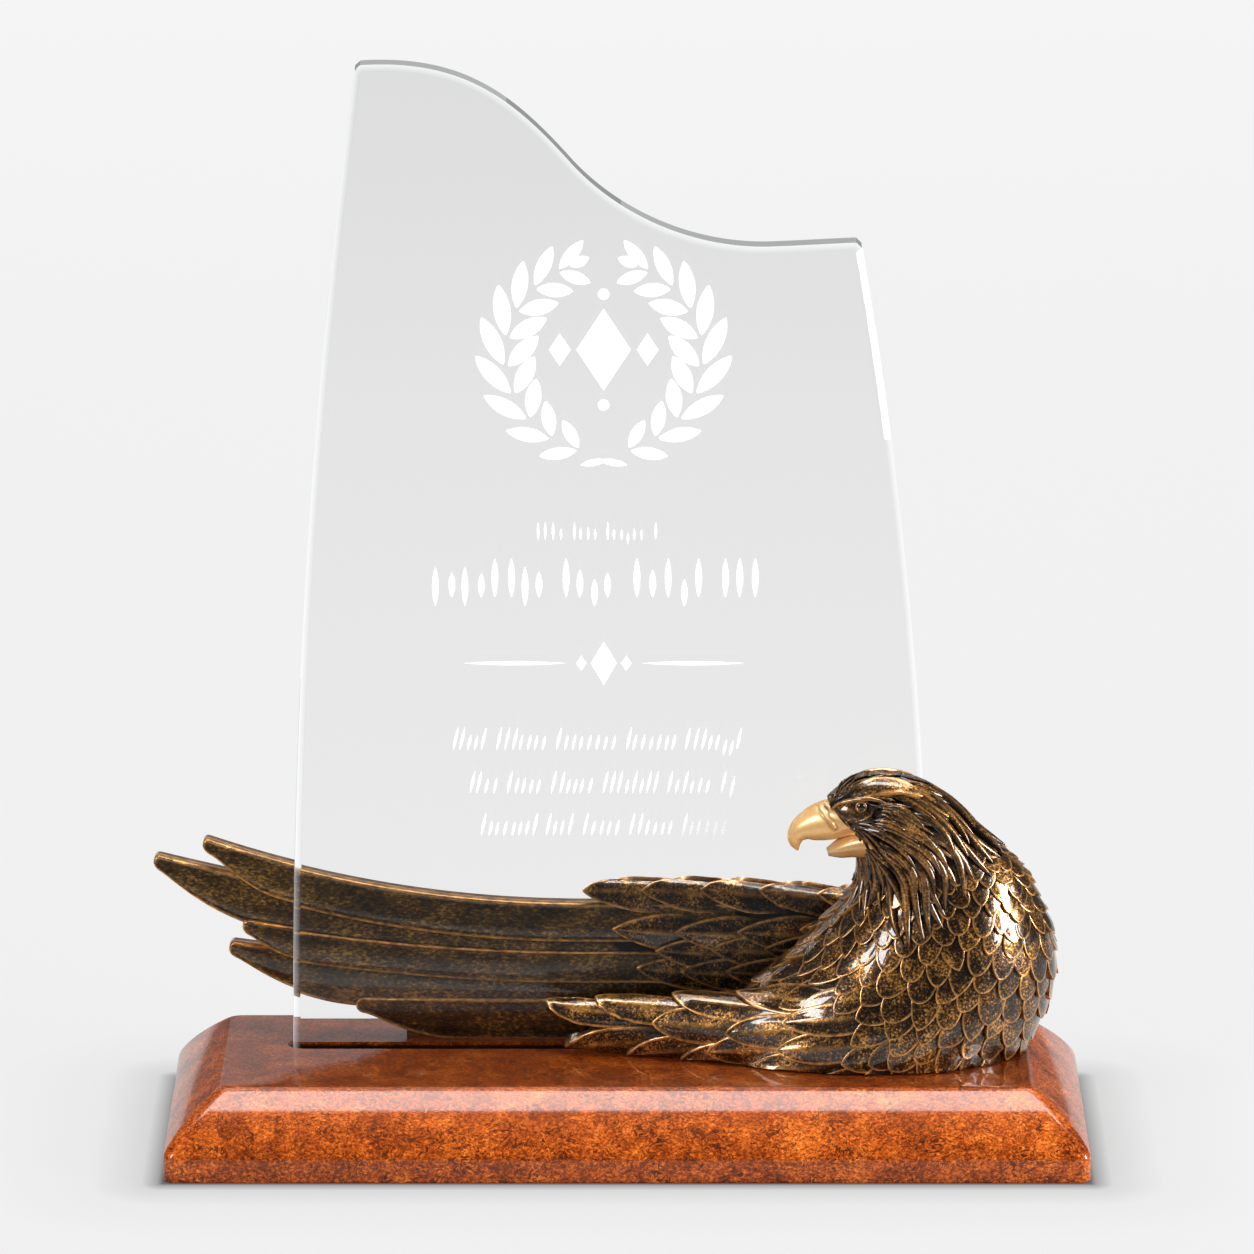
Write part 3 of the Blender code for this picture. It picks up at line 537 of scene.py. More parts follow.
def inset_outline(outline, distance):
    """The outline moved inwards along the mean of its two sides' normals at each corner."""
    moved = []
    count = len(outline)
    for k in range(count):
        before, here, after = (np.array(outline[(k + step) % count]) for step in (-1, 0, 1))
        first = (here - before) / np.linalg.norm(here - before)
        second = (after - here) / np.linalg.norm(after - here)
        inward = np.array([-first[1] - second[1], first[0] + second[0]])
        inward /= 1 + first @ second
        moved.append(tuple(here + inward * distance))
    return moved


def build_glass():
    outer = glass_outline()
    inner = inset_outline(outer, EDGE_CHAMFER)
    rings = [[(x, y, z) for x, z in outline] for outline, y in (
        (inner, GLASS_FRONT), (outer, GLASS_FRONT + EDGE_CHAMFER_DEPTH),
        (outer, GLASS_BACK - EDGE_CHAMFER_DEPTH), (inner, GLASS_BACK))]
    mesh = mesh_of("glass_panel_clear", loft(rings))
    # Marks the chamfers for the glass's painted shade and painted glow
    rim = mesh.attributes.new("rim", "FLOAT", "POINT")
    count = len(outer)
    rim.data.foreach_set("value", [0.0] * count + [1.0] * (2 * count) + [0.0] * count)
    smooth_shaded(mesh, 12)
    part_of(add_object("glass_panel_clear", mesh, glass_material()), "glass_panel")


# Engraving: thin frosted shapes on the glass, a laurel wreath and rows of plain strokes


ENGRAVING_DEPTH = 0.12 * MM
ENGRAVING_GAP = 0.03 * MM
ENGRAVING_MIDDLE = -6.4 * MM
LENS_STEPS = 8
WREATH_HEIGHT = 197 * MM
WREATH_RADIUS = 27 * MM
WREATH_LEAVES = 9
# Length and width of a leaf, and how far its tip spreads from the branch
WREATH_LEAF = (13.5 * MM, 4.4 * MM)
WREATH_SPREAD = 7.5 * MM
# The wreath's first leaf and the span of its leaves, in degrees up from its foot
WREATH_START, WREATH_SPAN = 14, 138
# Rows of strokes: left end, right end, foot above the plinth, height, stroke width, pitch, slant
STROKE_ROWS = [
    (-24.4, 11.0, 145.4, 5.2, 0.75, 1.9, 0.0),
    (-52.7, 40.7, 129.2, 11.2, 1.9, 4.1, 0.0),
    (-48.0, 35.9, 85.8, 6.6, 0.85, 2.1, 0.22),
    (-43.4, 31.2, 73.4, 6.6, 0.85, 2.1, 0.22),
    (-40.4, 28.5, 61.4, 6.6, 0.85, 2.1, 0.22),
]
# Strokes come in groups. The first of a group and some others are tall, and a few reach below the line
STROKES_IN_GROUP, GROUP_GAP, PITCH_SPREAD = (4, 9), 0.9, (0.85, 1.15)
TALL_CHANCE, SHORT_HEIGHTS = 0.22, (0.6, 0.72)
DROP_CHANCE, DROP = 0.08, 0.22
DIVIDER_HEIGHT = 110.6 * MM
DIVIDER_INNER = 10.5 * MM
DIVIDER_OUTER = 38.6 * MM


def plate(outline):
    """A closed thin plate just in front of the glass, from an outline in x and height above the plinth."""
    back = GLASS_FRONT - ENGRAVING_GAP
    return loft([[(x, y, PLINTH_TOP + z) for x, z in outline] for y in (back - ENGRAVING_DEPTH, back)])


def lens(foot, head, width):
    """A leaf or stroke: two shallow arcs between two points."""
    foot, head = np.array(foot), np.array(head)
    across = np.array([foot[1] - head[1], head[0] - foot[0]]) / np.linalg.norm(head - foot)
    shares = np.linspace(0.04, 0.96, LENS_STEPS)
    bulges = [across * width / 2 * math.sin(math.pi * t) ** 0.7 for t in shares]
    line = [foot + (head - foot) * t for t in shares]
    right = [place - bulge for place, bulge in zip(line, bulges)]
    left = [place + bulge for place, bulge in zip(line, bulges)]
    return [tuple(p) for p in [foot] + right + [head] + left[::-1]]


def lozenge(x, z, half_width, half_height):
    return [(x, z - half_height), (x + half_width, z), (x, z + half_height), (x - half_width, z)]


def disc(x, z, radius):
    angles = np.linspace(0, 2 * math.pi, 24, endpoint=False)
    return [(x + radius * math.cos(a), z + radius * math.sin(a)) for a in angles]


def on_branch(side, degrees, outward=0.0):
    """A point on one of the wreath's branches, in x and height."""
    angle = math.radians(degrees)
    radius = WREATH_RADIUS + outward
    return np.array([ENGRAVING_MIDDLE + side * radius * math.sin(angle),
                     WREATH_HEIGHT - radius * math.cos(angle)])


def wreath_branch(side):
    outlines = []
    length, width = WREATH_LEAF
    for k in range(WREATH_LEAVES):
        share = k / (WREATH_LEAVES - 1)
        degrees = WREATH_START + WREATH_SPAN * share
        size = 0.8 + 0.3 * math.sin(math.pi * share)
        reach = math.degrees(length * size / WREATH_RADIUS)
        foot = on_branch(side, degrees)
        for turn in (1, -1):
            head = on_branch(side, degrees + 0.8 * reach, turn * WREATH_SPREAD * size)
            outlines.append(lens(foot + (head - foot) * 0.08, head, width * size))
    outlines.append(lens(on_branch(side, 160), on_branch(side, 172, 1 * MM), 3 * MM))
    outlines.append(lens(on_branch(side, 2, 2 * MM), on_branch(side, -12, 4 * MM), 2 * MM))
    return outlines


def wreath():
    """Two laurel branches that rise from a knot, with lozenges and discs between them."""
    middle = WREATH_HEIGHT + 2 * MM
    outlines = wreath_branch(1) + wreath_branch(-1)
    outlines.append(lozenge(ENGRAVING_MIDDLE, middle, 7.5 * MM, 11.5 * MM))
    for step in (-1, 1):
        outlines.append(lozenge(ENGRAVING_MIDDLE + step * 12 * MM, middle, 3 * MM, 4.6 * MM))
        outlines.append(disc(ENGRAVING_MIDDLE, middle + step * 15.5 * MM, 1.6 * MM))
    return outlines


def stroke_row(left, right, foot, height, width, pitch, slant):
    """Strokes in groups of uneven length. They only suggest a line of writing."""
    outlines = []
    x = left
    while x < right - pitch:
        count = min(int(rng.integers(*STROKES_IN_GROUP)), int((right - x) / pitch))
        for k in range(count):
            is_tall = k == 0 or rng.random() < TALL_CHANCE
            tall = height * (1.0 if is_tall else rng.uniform(*SHORT_HEIGHTS))
            low = foot - (DROP * height if rng.random() < DROP_CHANCE else 0)
            base = np.array([x, low]) * MM
            outlines.append(lens(base, base + np.array([slant * tall, tall]) * MM, width * MM))
            x += pitch * rng.uniform(*PITCH_SPREAD)
        x += pitch * GROUP_GAP
    return outlines


def build_engraving():
    outlines = wreath()
    for row in STROKE_ROWS:
        outlines += stroke_row(*row)
    for side in (1, -1):
        outer, inner = (ENGRAVING_MIDDLE + side * away for away in (DIVIDER_OUTER, DIVIDER_INNER))
        outlines.append(lens((outer, DIVIDER_HEIGHT), (inner, DIVIDER_HEIGHT), 1.2 * MM))
        outlines.append(lozenge(ENGRAVING_MIDDLE + side * 6.2 * MM, DIVIDER_HEIGHT, 1.5 * MM, 2.2 * MM))
    outlines.append(lozenge(ENGRAVING_MIDDLE, DIVIDER_HEIGHT, 3.6 * MM, 6.2 * MM))
    mesh = mesh_of("engraving", joined([plate(outline) for outline in outlines]))
    part_of(add_object("engraving", mesh, engraving_material()), "glass_panel")


# Eagle's forms, the same as the frame's: stacks of ovals for the body with neck and head, for the near wing
# and for the far wing's arm

# Height above the plinth, left and right reach in x, reach ahead of the slit's front wall and behind it
BODY_SECTIONS = [
    (-6, 24, 109.0, 25.5, 29.0),
    (0, 24, 110.4, 25.8, 29.2),
    (6, 26, 113.4, 26.2, 29.6),
    (13, 30, 116.8, 26.4, 29.8),
    (21, 37, 118.6, 26.2, 29.2),
    (29, 46, 118.8, 25.2, 27.4),
    (37, 53.5, 117.2, 24.4, 23.8),
    (45, 60.8, 113.6, 23.4, 17.5),
    (52, 64.6, 110.9, 22.6, 10.0),
    (59, 64.0, 105.2, 22.4, 3.0),
    (65, 62.2, 98.2, 23.0, -0.8),
    (71, 58.8, 92.4, 23.2, -2.0),
    (76, 56.8, 87.2, 22.6, -3.0),
    (79.6, 58.8, 82.2, 20.8, -5.2),
    (81.6, 62.4, 76.8, 18.4, -8.0),
    (82.6, 66.6, 73.4, 15.4, -10.8),
]
# x, reach ahead of the slit at the outer side, lowest and highest point above the plinth
NEAR_WING_SECTIONS = [
    (74, 27, -4, 30),
    (60, 25.5, -4, 25),
    (47, 21.5, -4, 20.5),
    (34, 17.0, -4, 18.0),
    (21, 13.0, -2, 17.0),
    (8, 9.5, 0, 16.0),
    (-4, 7.0, 1, 15.0),
]
# The wing's form goes on only as a guide for the outermost feathers
NEAR_WING_GUIDE_SECTIONS = [
    (-16, 5.0, 3, 14.0),
    (-28, 3.6, 5, 13.0),
]
NEAR_WING_OVERLAP = 1.0
NEAR_WING_SQUARENESS = 2.3
# The far wing's arm: x, front and back behind the slit, lowest and highest point
ARM_SECTIONS = [
    (-27, 4.8, 9.6, 25, 43.5),
    (-10, 4.4, 10.2, 25, 44.5),
    (-2, 4.0, 11.0, 20, 45.0),
    (12, 3.6, 12.0, 13, 45.2),
    (30, 3.4, 13.5, 2, 44.6),
    (48, 3.4, 15.0, -4, 42.8),
    (64, 3.4, 16.5, -4, 41.0),
    (78, 3.4, 15.0, -4, 38.5),
    (92, 3.4, 9.0, -4, 33.0),
]
ARM_SQUARENESS = 4.0
# Left of this the arm has no skin of its own, because only feather tips reach there
ARM_SKIN_LEFT = -6
SECTION_POINTS = 64
# How far the dark skin lies under the surface that carries the feathers
SKIN_DEPTH = 0.9
SURFACE_VOXEL = 1.2 * MM
SURFACE_SMOOTHING = 9


def oval(centre, radii, place, power=2.0):
    """A ring of points on an oval. place turns the two coordinates into a point."""
    ring = []
    for k in range(SECTION_POINTS):
        angle = 2 * math.pi * k / SECTION_POINTS
        c, s = math.cos(angle), math.sin(angle)
        ring.append(place(centre[0] + radii[0] * math.copysign(abs(c) ** (2 / power), c),
                          centre[1] + radii[1] * math.copysign(abs(s) ** (2 / power), s)))
    return ring


def body_shell():
    rings = []
    for height, left, right, front, back in BODY_SECTIONS:
        low, high = ahead(front), ahead(-back)
        centre = ((left + right) / 2 * UNIT, (low + high) / 2)
        radii = ((right - left) / 2 * UNIT, (high - low) / 2)
        rings.append(oval(centre, radii, lambda x, y, z=up(height): (x, y, z)))
    return loft(rings)


def wing_ring(x, front, back, low, high, power):
    """A squarish ring across a wing at x, between two places in y and two heights in units."""
    centre = ((front + back) / 2, (up(low) + up(high)) / 2)
    radii = ((back - front) / 2, (up(high) - up(low)) / 2)
    return oval(centre, radii, lambda y, z: (x * UNIT, y, z), power)


def near_wing_shell(sections):
    back = ahead(-NEAR_WING_OVERLAP)
    return loft([wing_ring(x, ahead(reach), back, low, high, NEAR_WING_SQUARENESS)
                 for x, reach, low, high in sections])


def arm_shell():
    return loft([wing_ring(x, behind(front), behind(back), low, high, ARM_SQUARENESS)
                 for x, front, back, low, high in ARM_SECTIONS])


class Surface:
    """A smooth closed form that feathers are laid on."""

    def __init__(self, shells):
        obj = add_object("surface", mesh_of("surface", joined(shells)))
        fuse = obj.modifiers.new("Fuse", "REMESH")
        fuse.mode = "VOXEL"
        fuse.voxel_size = SURFACE_VOXEL
        smooth = obj.modifiers.new("Smooth", "SMOOTH")
        smooth.factor = 0.5
        smooth.iterations = SURFACE_SMOOTHING
        self.mesh = baked(obj, "surface")
        self.points = [v.co.copy() for v in self.mesh.vertices]
        self.normals = [v.normal.copy() for v in self.mesh.vertices]
        self.faces = [tuple(p.vertices) for p in self.mesh.polygons]
        self.tree = BVHTree.FromPolygons(self.points, self.faces)

    def touch(self, point):
        """The nearest point of the surface and its outward normal."""
        place, _, index, _ = self.tree.find_nearest(Vector(point))
        corners = self.faces[index]
        shares = poly_3d_calc([self.points[k] for k in corners], place)
        normal = Vector((0, 0, 0))
        for share, k in zip(shares, corners):
            normal += self.normals[k] * share
        return np.array(place), np.array(normal.normalized())

    def skin(self, depth):
        """The form as a closed shell that lies this far under the surface."""
        moved = [tuple(p - n * depth) for p, n in zip(self.points, self.normals)]
        return moved, self.faces


# Feathers laid on a surface


class Kind(NamedTuple):
    """How a kind of feather is made, in units. bluntness, rows and columns are plain numbers."""

    taper: float
    bluntness: float
    tip_lift: float
    root_lift: float
    depth: float
    crown: float
    rim_height: float
    rim_width: float
    root_width: float
    rows: int
    columns: int
    shaft: float = 0.0
    crest: float = 0.0
    groove: float = 0.0


# The rows of a feather crowd towards its tip
TIP_CROWDING = 1.8
LEAST_WIDTH = 0.04
SHAFT_WIDTH = 0.35
BEAD_START, VANE_BEAD_START = 0.5, 0.4
# Where the copper of the rim fades in and the dark fades out, as shares of a feather's length. The dark is
# patina and painted shade under the feather above
RIM_FADE, PATINA_AND_SHADE_FADE = (0.12, 0.4), (0.1, 0.58)
# Where the crest's copper ends and the grooves' dark patina and painted shade starts, as shares of its half
# width
CREST_FADE, GROOVE_FADE = (0.1, 0.6), (0.5, 1.0)
FLOOR_GAP = 0.3 * MM
# What rises less than this over the gap is left out
LEAST_RISE = 0.6 * MM
SLIT_MARGIN = 0.5 * MM
# Flattened feathers stop at slightly different distances from the glass, so that their faces don't coincide
WALL_OFFSET = 0.02 * MM


class Pile:
    """Collects closed shells into one mesh, with the values that the bronze material reads at each point:
    copper, and dark for patina and painted shade.
    """

    def __init__(self):
        self.points, self.faces, self.rims, self.patina_and_shade_values = [], [], [], []

    def add(self, points, faces, rims, patina_and_shade_values):
        start = len(self.points)
        self.points += [tuple(map(float, p)) for p in points]
        self.faces += [tuple(start + k for k in face) for face in faces]
        self.rims += rims
        self.patina_and_shade_values += patina_and_shade_values

    def add_plain(self, shell, rim, patina_and_shade):
        """Adds a shell that has the same two values all over."""
        count = len(shell[0])
        self.add(*shell, [rim] * count, [patina_and_shade] * count)

    def build(self, name, finish, slot="bronze_finish", angle=50):
        mesh = mesh_of(name, (self.points, self.faces))
        for label, values in (("rim", self.rims), ("patina_and_shade", self.patina_and_shade_values)):
            layer = mesh.attributes.new(label, "FLOAT", "POINT")
            layer.data.foreach_set("value", values)
        smooth_shaded(mesh, angle)
        part_of(add_object(name, mesh, finish), "eagle")


def clear_of_neighbours(points):
    """The points kept on their own side of the glass and above the plinth, or None if little is left."""
    middle = sum(p[1] for p in points) / len(points)
    offset = WALL_OFFSET * rng.uniform(0.5, 8)
    kept = []
    for x, y, z in points:
        if x < SLIT_RIGHT + SLIT_MARGIN:
            if middle < GLASS_PLANE_Y:
                y = min(y, SLIT_FRONT - offset)
            else:
                y = max(y, SLIT_BACK + offset)
        kept.append((x, y, max(z, PLINTH_TOP + FLOOR_GAP + offset)))
    if max(p[2] for p in kept) < PLINTH_TOP + FLOOR_GAP + LEAST_RISE:
        return None
    return kept


def edge_distance(across, along):
    """A smooth distance from a feather's outline, from the distances to its side and to its tip."""
    return 1 / math.sqrt(1 / max(across, 1e-4) ** 2 + 1 / max(along, 1e-4) ** 2)


def bead_share(edge, width, start):
    """The height of the bead along a feather's edge, from this share at the very edge to nothing inside."""
    rising = min(edge / (0.35 * width), 1.0) * (1 - start) + start
    return rising * (1 - smoothstep(0.35 * width, width, edge))


def feather_faces(rows, columns):
    """The faces of a closed feather, whose points are its top, row by row, and its underside's two edges."""
    width = columns + 1
    first_left = width * (rows + 1)
    first_right = first_left + rows + 1
    faces = []
    for row in range(rows):
        a, b = row * width, (row + 1) * width
        left, right = first_left + row, first_right + row
        faces += [(a + k, b + k, b + k + 1, a + k + 1) for k in range(columns)]
        faces.append((a, left, left + 1, b))
        faces.append((a + columns, b + columns, right + 1, right))
        faces.append((left, right, right + 1, left + 1))
    last = rows * width
    faces.append((first_left + rows, first_right + rows, *range(last + columns, last - 1, -1)))
    faces.append((*range(width), first_right, first_left))
    return faces


def lay_feather(pile, surface, path, half_width, kind):
    """A closed feather that hugs the surface along a path from root to tip, with a bead round its edge."""
    path = np.array(path, float)
    steps = np.linalg.norm(np.diff(path, axis=0), axis=1)
    lengths = np.concatenate([[0], np.cumsum(steps)])
    total = lengths[-1]

    def place_at(distance):
        reached = min(max(distance, 0), total)
        return np.array([np.interp(reached, lengths, path[:, axis]) for axis in range(3)])

    top, low_left, low_right, rims, patina_and_shade_values = [], [], [], [], []
    for row in range(kind.rows + 1):
        share = 1 - (1 - row / kind.rows) ** TIP_CROWDING
        here = share * total
        centre, normal = surface.touch(place_at(here))
        along = place_at(here + 0.02 * total) - place_at(here - 0.05 * total)
        along -= normal * (along @ normal)
        along /= np.linalg.norm(along)
        side = np.cross(normal, along)
        left = (total - here) / UNIT
        narrow = max((1 - (1 - min(left / kind.taper, 1.0)) ** 2) ** kind.bluntness, LEAST_WIDTH)
        wide = half_width * narrow * (kind.root_width + (1 - kind.root_width) * smoothstep(0, 0.5, share))
        lean = kind.root_lift + (kind.tip_lift - kind.root_lift) * share
        for column in range(kind.columns + 1):
            t = math.sin(math.pi / 2 * (2 * column / kind.columns - 1))
            place, outward = surface.touch(centre + side * wide * t * UNIT)
            edge = edge_distance(wide * (1 - abs(t)), left)
            bead = kind.rim_height * bead_share(edge, kind.rim_width, BEAD_START)
            ridge = kind.shaft * math.exp(-(t * wide / SHAFT_WIDTH) ** 2) * (1 - smoothstep(0.9, 1.0, share))
            height = lean + kind.crown * narrow * (1 - t * t) + bead + ridge
            top.append(place + outward * height * UNIT)
            bright = kind.crest * (1 - smoothstep(*CREST_FADE, abs(t)))
            if kind.rim_height:
                bright = max(bright, 1 - smoothstep(0.5 * kind.rim_width, kind.rim_width, edge))
            if kind.shaft:
                bright = max(bright, 0.5 * smoothstep(0.3, 0.9, ridge / kind.shaft))
            rims.append(bright * smoothstep(*RIM_FADE, share))
            # Dark patina and painted shade: at the root under the feather above, and in the grooves
            groove = kind.groove * smoothstep(*GROOVE_FADE, abs(t))
            patina_and_shade_values.append(max(1 - smoothstep(*PATINA_AND_SHADE_FADE, share), groove))
            if column == 0:
                low_left.append(place - outward * kind.depth * UNIT)
            if column == kind.columns:
                low_right.append(place - outward * kind.depth * UNIT)
    points = clear_of_neighbours([tuple(p) for p in top + low_left + low_right])
    if points is None:
        return
    underside = len(low_left) + len(low_right)
    faces = feather_faces(kind.rows, kind.columns)
    # The underside has no copper and is fully dark, as painted shade
    pile.add(points, faces, rims + [0.0] * underside, patina_and_shade_values + [1.0] * underside)


# A new place of a lattice keeps this share of the pitch away from the others
LATTICE_ROOM = 0.72
LATTICE_CELL = 8 * MM
LATTICE_STEPS = ((1, 0), (-1, 0), (0.5, 1), (-0.5, 1), (0.5, -1), (-0.5, -1))
STREAM_STEP = 1.2 * MM


def spread(surface, start, flow_at, pitch_at, row_share, wanted):
    """Places in a staggered lattice that grows over the surface from a start, as (place, flow, side)."""
    def settled(point):
        place, normal = surface.touch(point)
        flow = flow_at(place)
        flow = flow - normal * (flow @ normal)
        flow /= np.linalg.norm(flow)
        return place, normal, flow, np.cross(normal, flow)

    def cell_of(point):
        return tuple(int(math.floor(c / LATTICE_CELL)) for c in point)

    def is_taken(fresh, room):
        place, normal, flow, side = fresh
        a, b, c = cell_of(place)
        for i, j, k in itertools.product((-1, 0, 1), repeat=3):
            for other in cells.get((a + i, b + j, c + k), []):
                gap = place - other
                if math.hypot(gap @ side, gap @ flow / row_share) < room and abs(gap @ normal) < room:
                    return True
        return False

    queue = collections.deque([settled(start)])
    cells = {cell_of(queue[0][0]): [queue[0][0]]}
    while queue:
        place, _, flow, side = queue.popleft()
        yield place, flow, side
        pitch = pitch_at(place)
        for across, on in LATTICE_STEPS:
            fresh = settled(place + (side * across + flow * on * row_share) * pitch)
            if wanted(fresh[0]) and not is_taken(fresh, LATTICE_ROOM * pitch):
                cells.setdefault(cell_of(fresh[0]), []).append(fresh[0])
                queue.append(fresh)


def streamline(surface, start, flow_at, before, after, inside):
    """A path over the surface that follows the flow, from this far before the start to this far after it.

    It ends early where it would leave the area that inside() allows."""
    def walk(distance, way):
        point = np.array(start, float)
        points = []
        travelled = 0.0
        while travelled < distance:
            place, normal = surface.touch(point)
            flow = flow_at(place)
            flow = flow - normal * (flow @ normal)
            length = min(STREAM_STEP, distance - travelled)
            point, _ = surface.touch(place + way * flow / np.linalg.norm(flow) * length)
            if not inside(point):
                break
            travelled += STREAM_STEP
            points.append(point)
        return points

    return walk(before, -1)[::-1] + [np.array(start, float)] + walk(after, 1)


def in_units(point):
    """x, reach ahead of the slit, and height above the plinth, in units."""
    return point[0] / UNIT, (SLIT_FRONT - point[1]) / UNIT, (point[2] - PLINTH_TOP) / UNIT


# Body scales

BODY_FLOW_PIVOT = (46, 40)
# The scales end under the neck's long feathers, along these points in x and height
HACKLE_EDGE = ([60, 67, 77, 88, 93, 101, 125], [54, 50, 44, 51, 54, 61, 76])
SCALE_EDGE_OVERLAP = 5
SCALE_LOWEST = -2
# Where the wings' feathers take over: x above and below the near wing's upper edge, and x behind the glass
SCALE_LEFT_OVER_WING, SCALE_LEFT_ON_WING, SCALE_LEFT_BEHIND = 36, 47, 62
SCALE_WING_EDGE = 17
# Pitch at the neck, how much it grows, and the heights between which it grows
SCALE_PITCH, SCALE_GROWTH, SCALE_GROWTH_SPAN = 5.3, 2.3, (18, 54)
SCALE_ROW_SHARE = 0.80
SCALE_TURN = 0.4
# The scales are longer and more pointed to the left of here, towards the near wing
SCALE_POINTED_SPAN = (52, 78)
SCALE_KIND = Kind(taper=5.0, bluntness=0.5, tip_lift=1.15, root_lift=-0.9, depth=1.5, crown=0.25,
                  rim_height=0.15, rim_width=0.55, root_width=0.8, rows=12, columns=10)


def hackle_edge(x):
    return np.interp(x, *HACKLE_EDGE)


def body_flow(point):
    """The way the scales point: down at the right, turning to the left under the pivot."""
    x, _, z = in_units(point)
    x, z = x - BODY_FLOW_PIVOT[0], z - BODY_FLOW_PIVOT[1]
    return np.array([z, 0.0, -x]) / max(math.hypot(x, z), 1e-6)


def scale_pitch(point):
    """Scales grow from the neck down."""
    return (SCALE_PITCH + SCALE_GROWTH * (1 - smoothstep(*SCALE_GROWTH_SPAN, in_units(point)[2]))) * UNIT


def in_slit(point):
    return point[0] < SLIT_RIGHT and SLIT_FRONT < point[1] < SLIT_BACK


def has_scale(point):
    x, reach, z = in_units(point)
    if z > hackle_edge(x) + SCALE_EDGE_OVERLAP or z < SCALE_LOWEST or in_slit(point):
        return False
    if reach > 0:
        return x > (SCALE_LEFT_OVER_WING if z > SCALE_WING_EDGE else SCALE_LEFT_ON_WING)
    return x > SCALE_LEFT_BEHIND


def build_scales(body, bronze):
    pile = Pile()
    start = (92 * UNIT, ahead(24), up(28))
    for place, flow, side in spread(body, start, body_flow, scale_pitch, SCALE_ROW_SHARE, has_scale):
        pitch = scale_pitch(place) / UNIT
        pointed = 1 - smoothstep(*SCALE_POINTED_SPAN, place[0] / UNIT)
        size = pitch * rng.uniform(0.86, 1.12)
        length = size * (1.75 + 0.55 * pointed)
        turn = rng.uniform(-SCALE_TURN, SCALE_TURN)
        way = flow * math.cos(turn) + side * math.sin(turn)
        place = place + (flow * rng.uniform(-0.14, 0.14) + side * rng.uniform(-0.08, 0.08)) * pitch * UNIT
        path = [place + way * length * share * UNIT for share in (-0.62, -0.3, 0.0, 0.38)]
        kind = SCALE_KIND._replace(taper=size * (rng.uniform(0.75, 1.3) + 0.6 * pointed),
                                   bluntness=rng.uniform(0.42, 0.82) + 0.1 * pointed,
                                   tip_lift=SCALE_KIND.tip_lift + rng.uniform(-0.3, 0.25))
        lay_feather(pile, body, path, size * 0.56, kind)
    pile.build("body_scales", bronze)


# Neck and head feathers

# The way these feathers lie, seen from the front: x, height, and angle below the horizontal in degrees
HEAD_FLOW = [
    (57, 76, -32), (62, 80.5, -22), (68, 82.5, -4), (75, 82, 12), (81, 79.5, 32),
    (62, 72, 0), (66, 70, 3), (70, 70, 5), (77.5, 66, 17), (82, 64, 30), (88, 61.5, 50), (91, 58, 75),
    (80, 77.5, 35), (87, 72.5, 42), (93.6, 65.7, 50), (99, 61, 45), (95, 75, 48), (102, 68, 52),
    (108, 60, 58), (66.5, 64.5, 25), (72, 61.5, 32), (77.5, 58, 50), (80, 53, 80), (64.5, 62, 65),
    (66, 55.5, 80), (70, 50, 88), (88, 53, 85),
]
HACKLE_KIND = Kind(taper=9, bluntness=0.75, tip_lift=1.1, root_lift=-0.5, depth=1.2, crown=0.5,
                   rim_height=0.0, rim_width=0.3, root_width=0.6, rows=13, columns=6, crest=0.5, groove=0.95)
HEAD_DEPTH = 13.0
EYE = (64.2, 7.2, 75.4)
# The dark socket round the eye: middle, half length, half height and tilt in degrees
SOCKET = (63.3, 73.5, 5.2, 2.9, 12)
# Where the feathers meet the beak: height, and the x of the edge at that height
BEAK_EDGE = ([58, 60.8, 66.9, 69.6, 74.2, 75.7, 80], [63.0, 63.2, 62.6, 59.9, 56.8, 55.4, 54.5])


def head_flow(point):
    """Back over the crown, round the nape and down the neck, blended from the named directions."""
    x, _, z = in_units(point)
    flow = np.zeros(2)
    for guide_x, guide_z, degrees in HEAD_FLOW:
        angle = math.radians(degrees)
        weight = 1 / ((x - guide_x) ** 2 + (z - guide_z) ** 2 + 1) ** 1.5
        flow += weight * np.array([math.cos(angle), -math.sin(angle)])
    flow /= np.linalg.norm(flow)
    return np.array([flow[0], 0.0, flow[1]])


def in_socket(x, z):
    tilt = math.radians(SOCKET[4])
    a, b = x - SOCKET[0], z - SOCKET[1]
    along = a * math.cos(tilt) + b * math.sin(tilt)
    over = b * math.cos(tilt) - a * math.sin(tilt)
    return math.hypot(along / SOCKET[2], over / SOCKET[3]) < 1


def on_plumage(point):
    x, _, z = in_units(point)
    return x > np.interp(z, *BEAK_EDGE) and not in_socket(x, z)


# Pitch of the strands on the face, how much it grows down the neck, and between which distances from the face
STRAND_PITCH, STRAND_GROWTH, STRAND_GROWTH_SPAN = 1.15, 1.45, (6, 30)
FACE = (62, 75)
STRAND_ROW_SHARE = 3.4
# Length of a strand and how far a lock bends it, as shares of the pitch
STRAND_LENGTH = 9.0
STRAND_SWAY = 0.75
# The crown is smooth above the first heights and to the left of the second span of x
CROWN_HEIGHTS, CROWN_SPAN = (75, 79), (78, 86)


def has_hackle(point):
    x, _, z = in_units(point)
    return not in_slit(point) and on_plumage(point) and z > hackle_edge(x) - 1


def strand_pitch(point):
    """Strands are fine on the face and broader down the neck."""
    x, _, z = in_units(point)
    away = math.hypot(x - FACE[0], z - FACE[1])
    return (STRAND_PITCH + STRAND_GROWTH * smoothstep(*STRAND_GROWTH_SPAN, away)) * UNIT


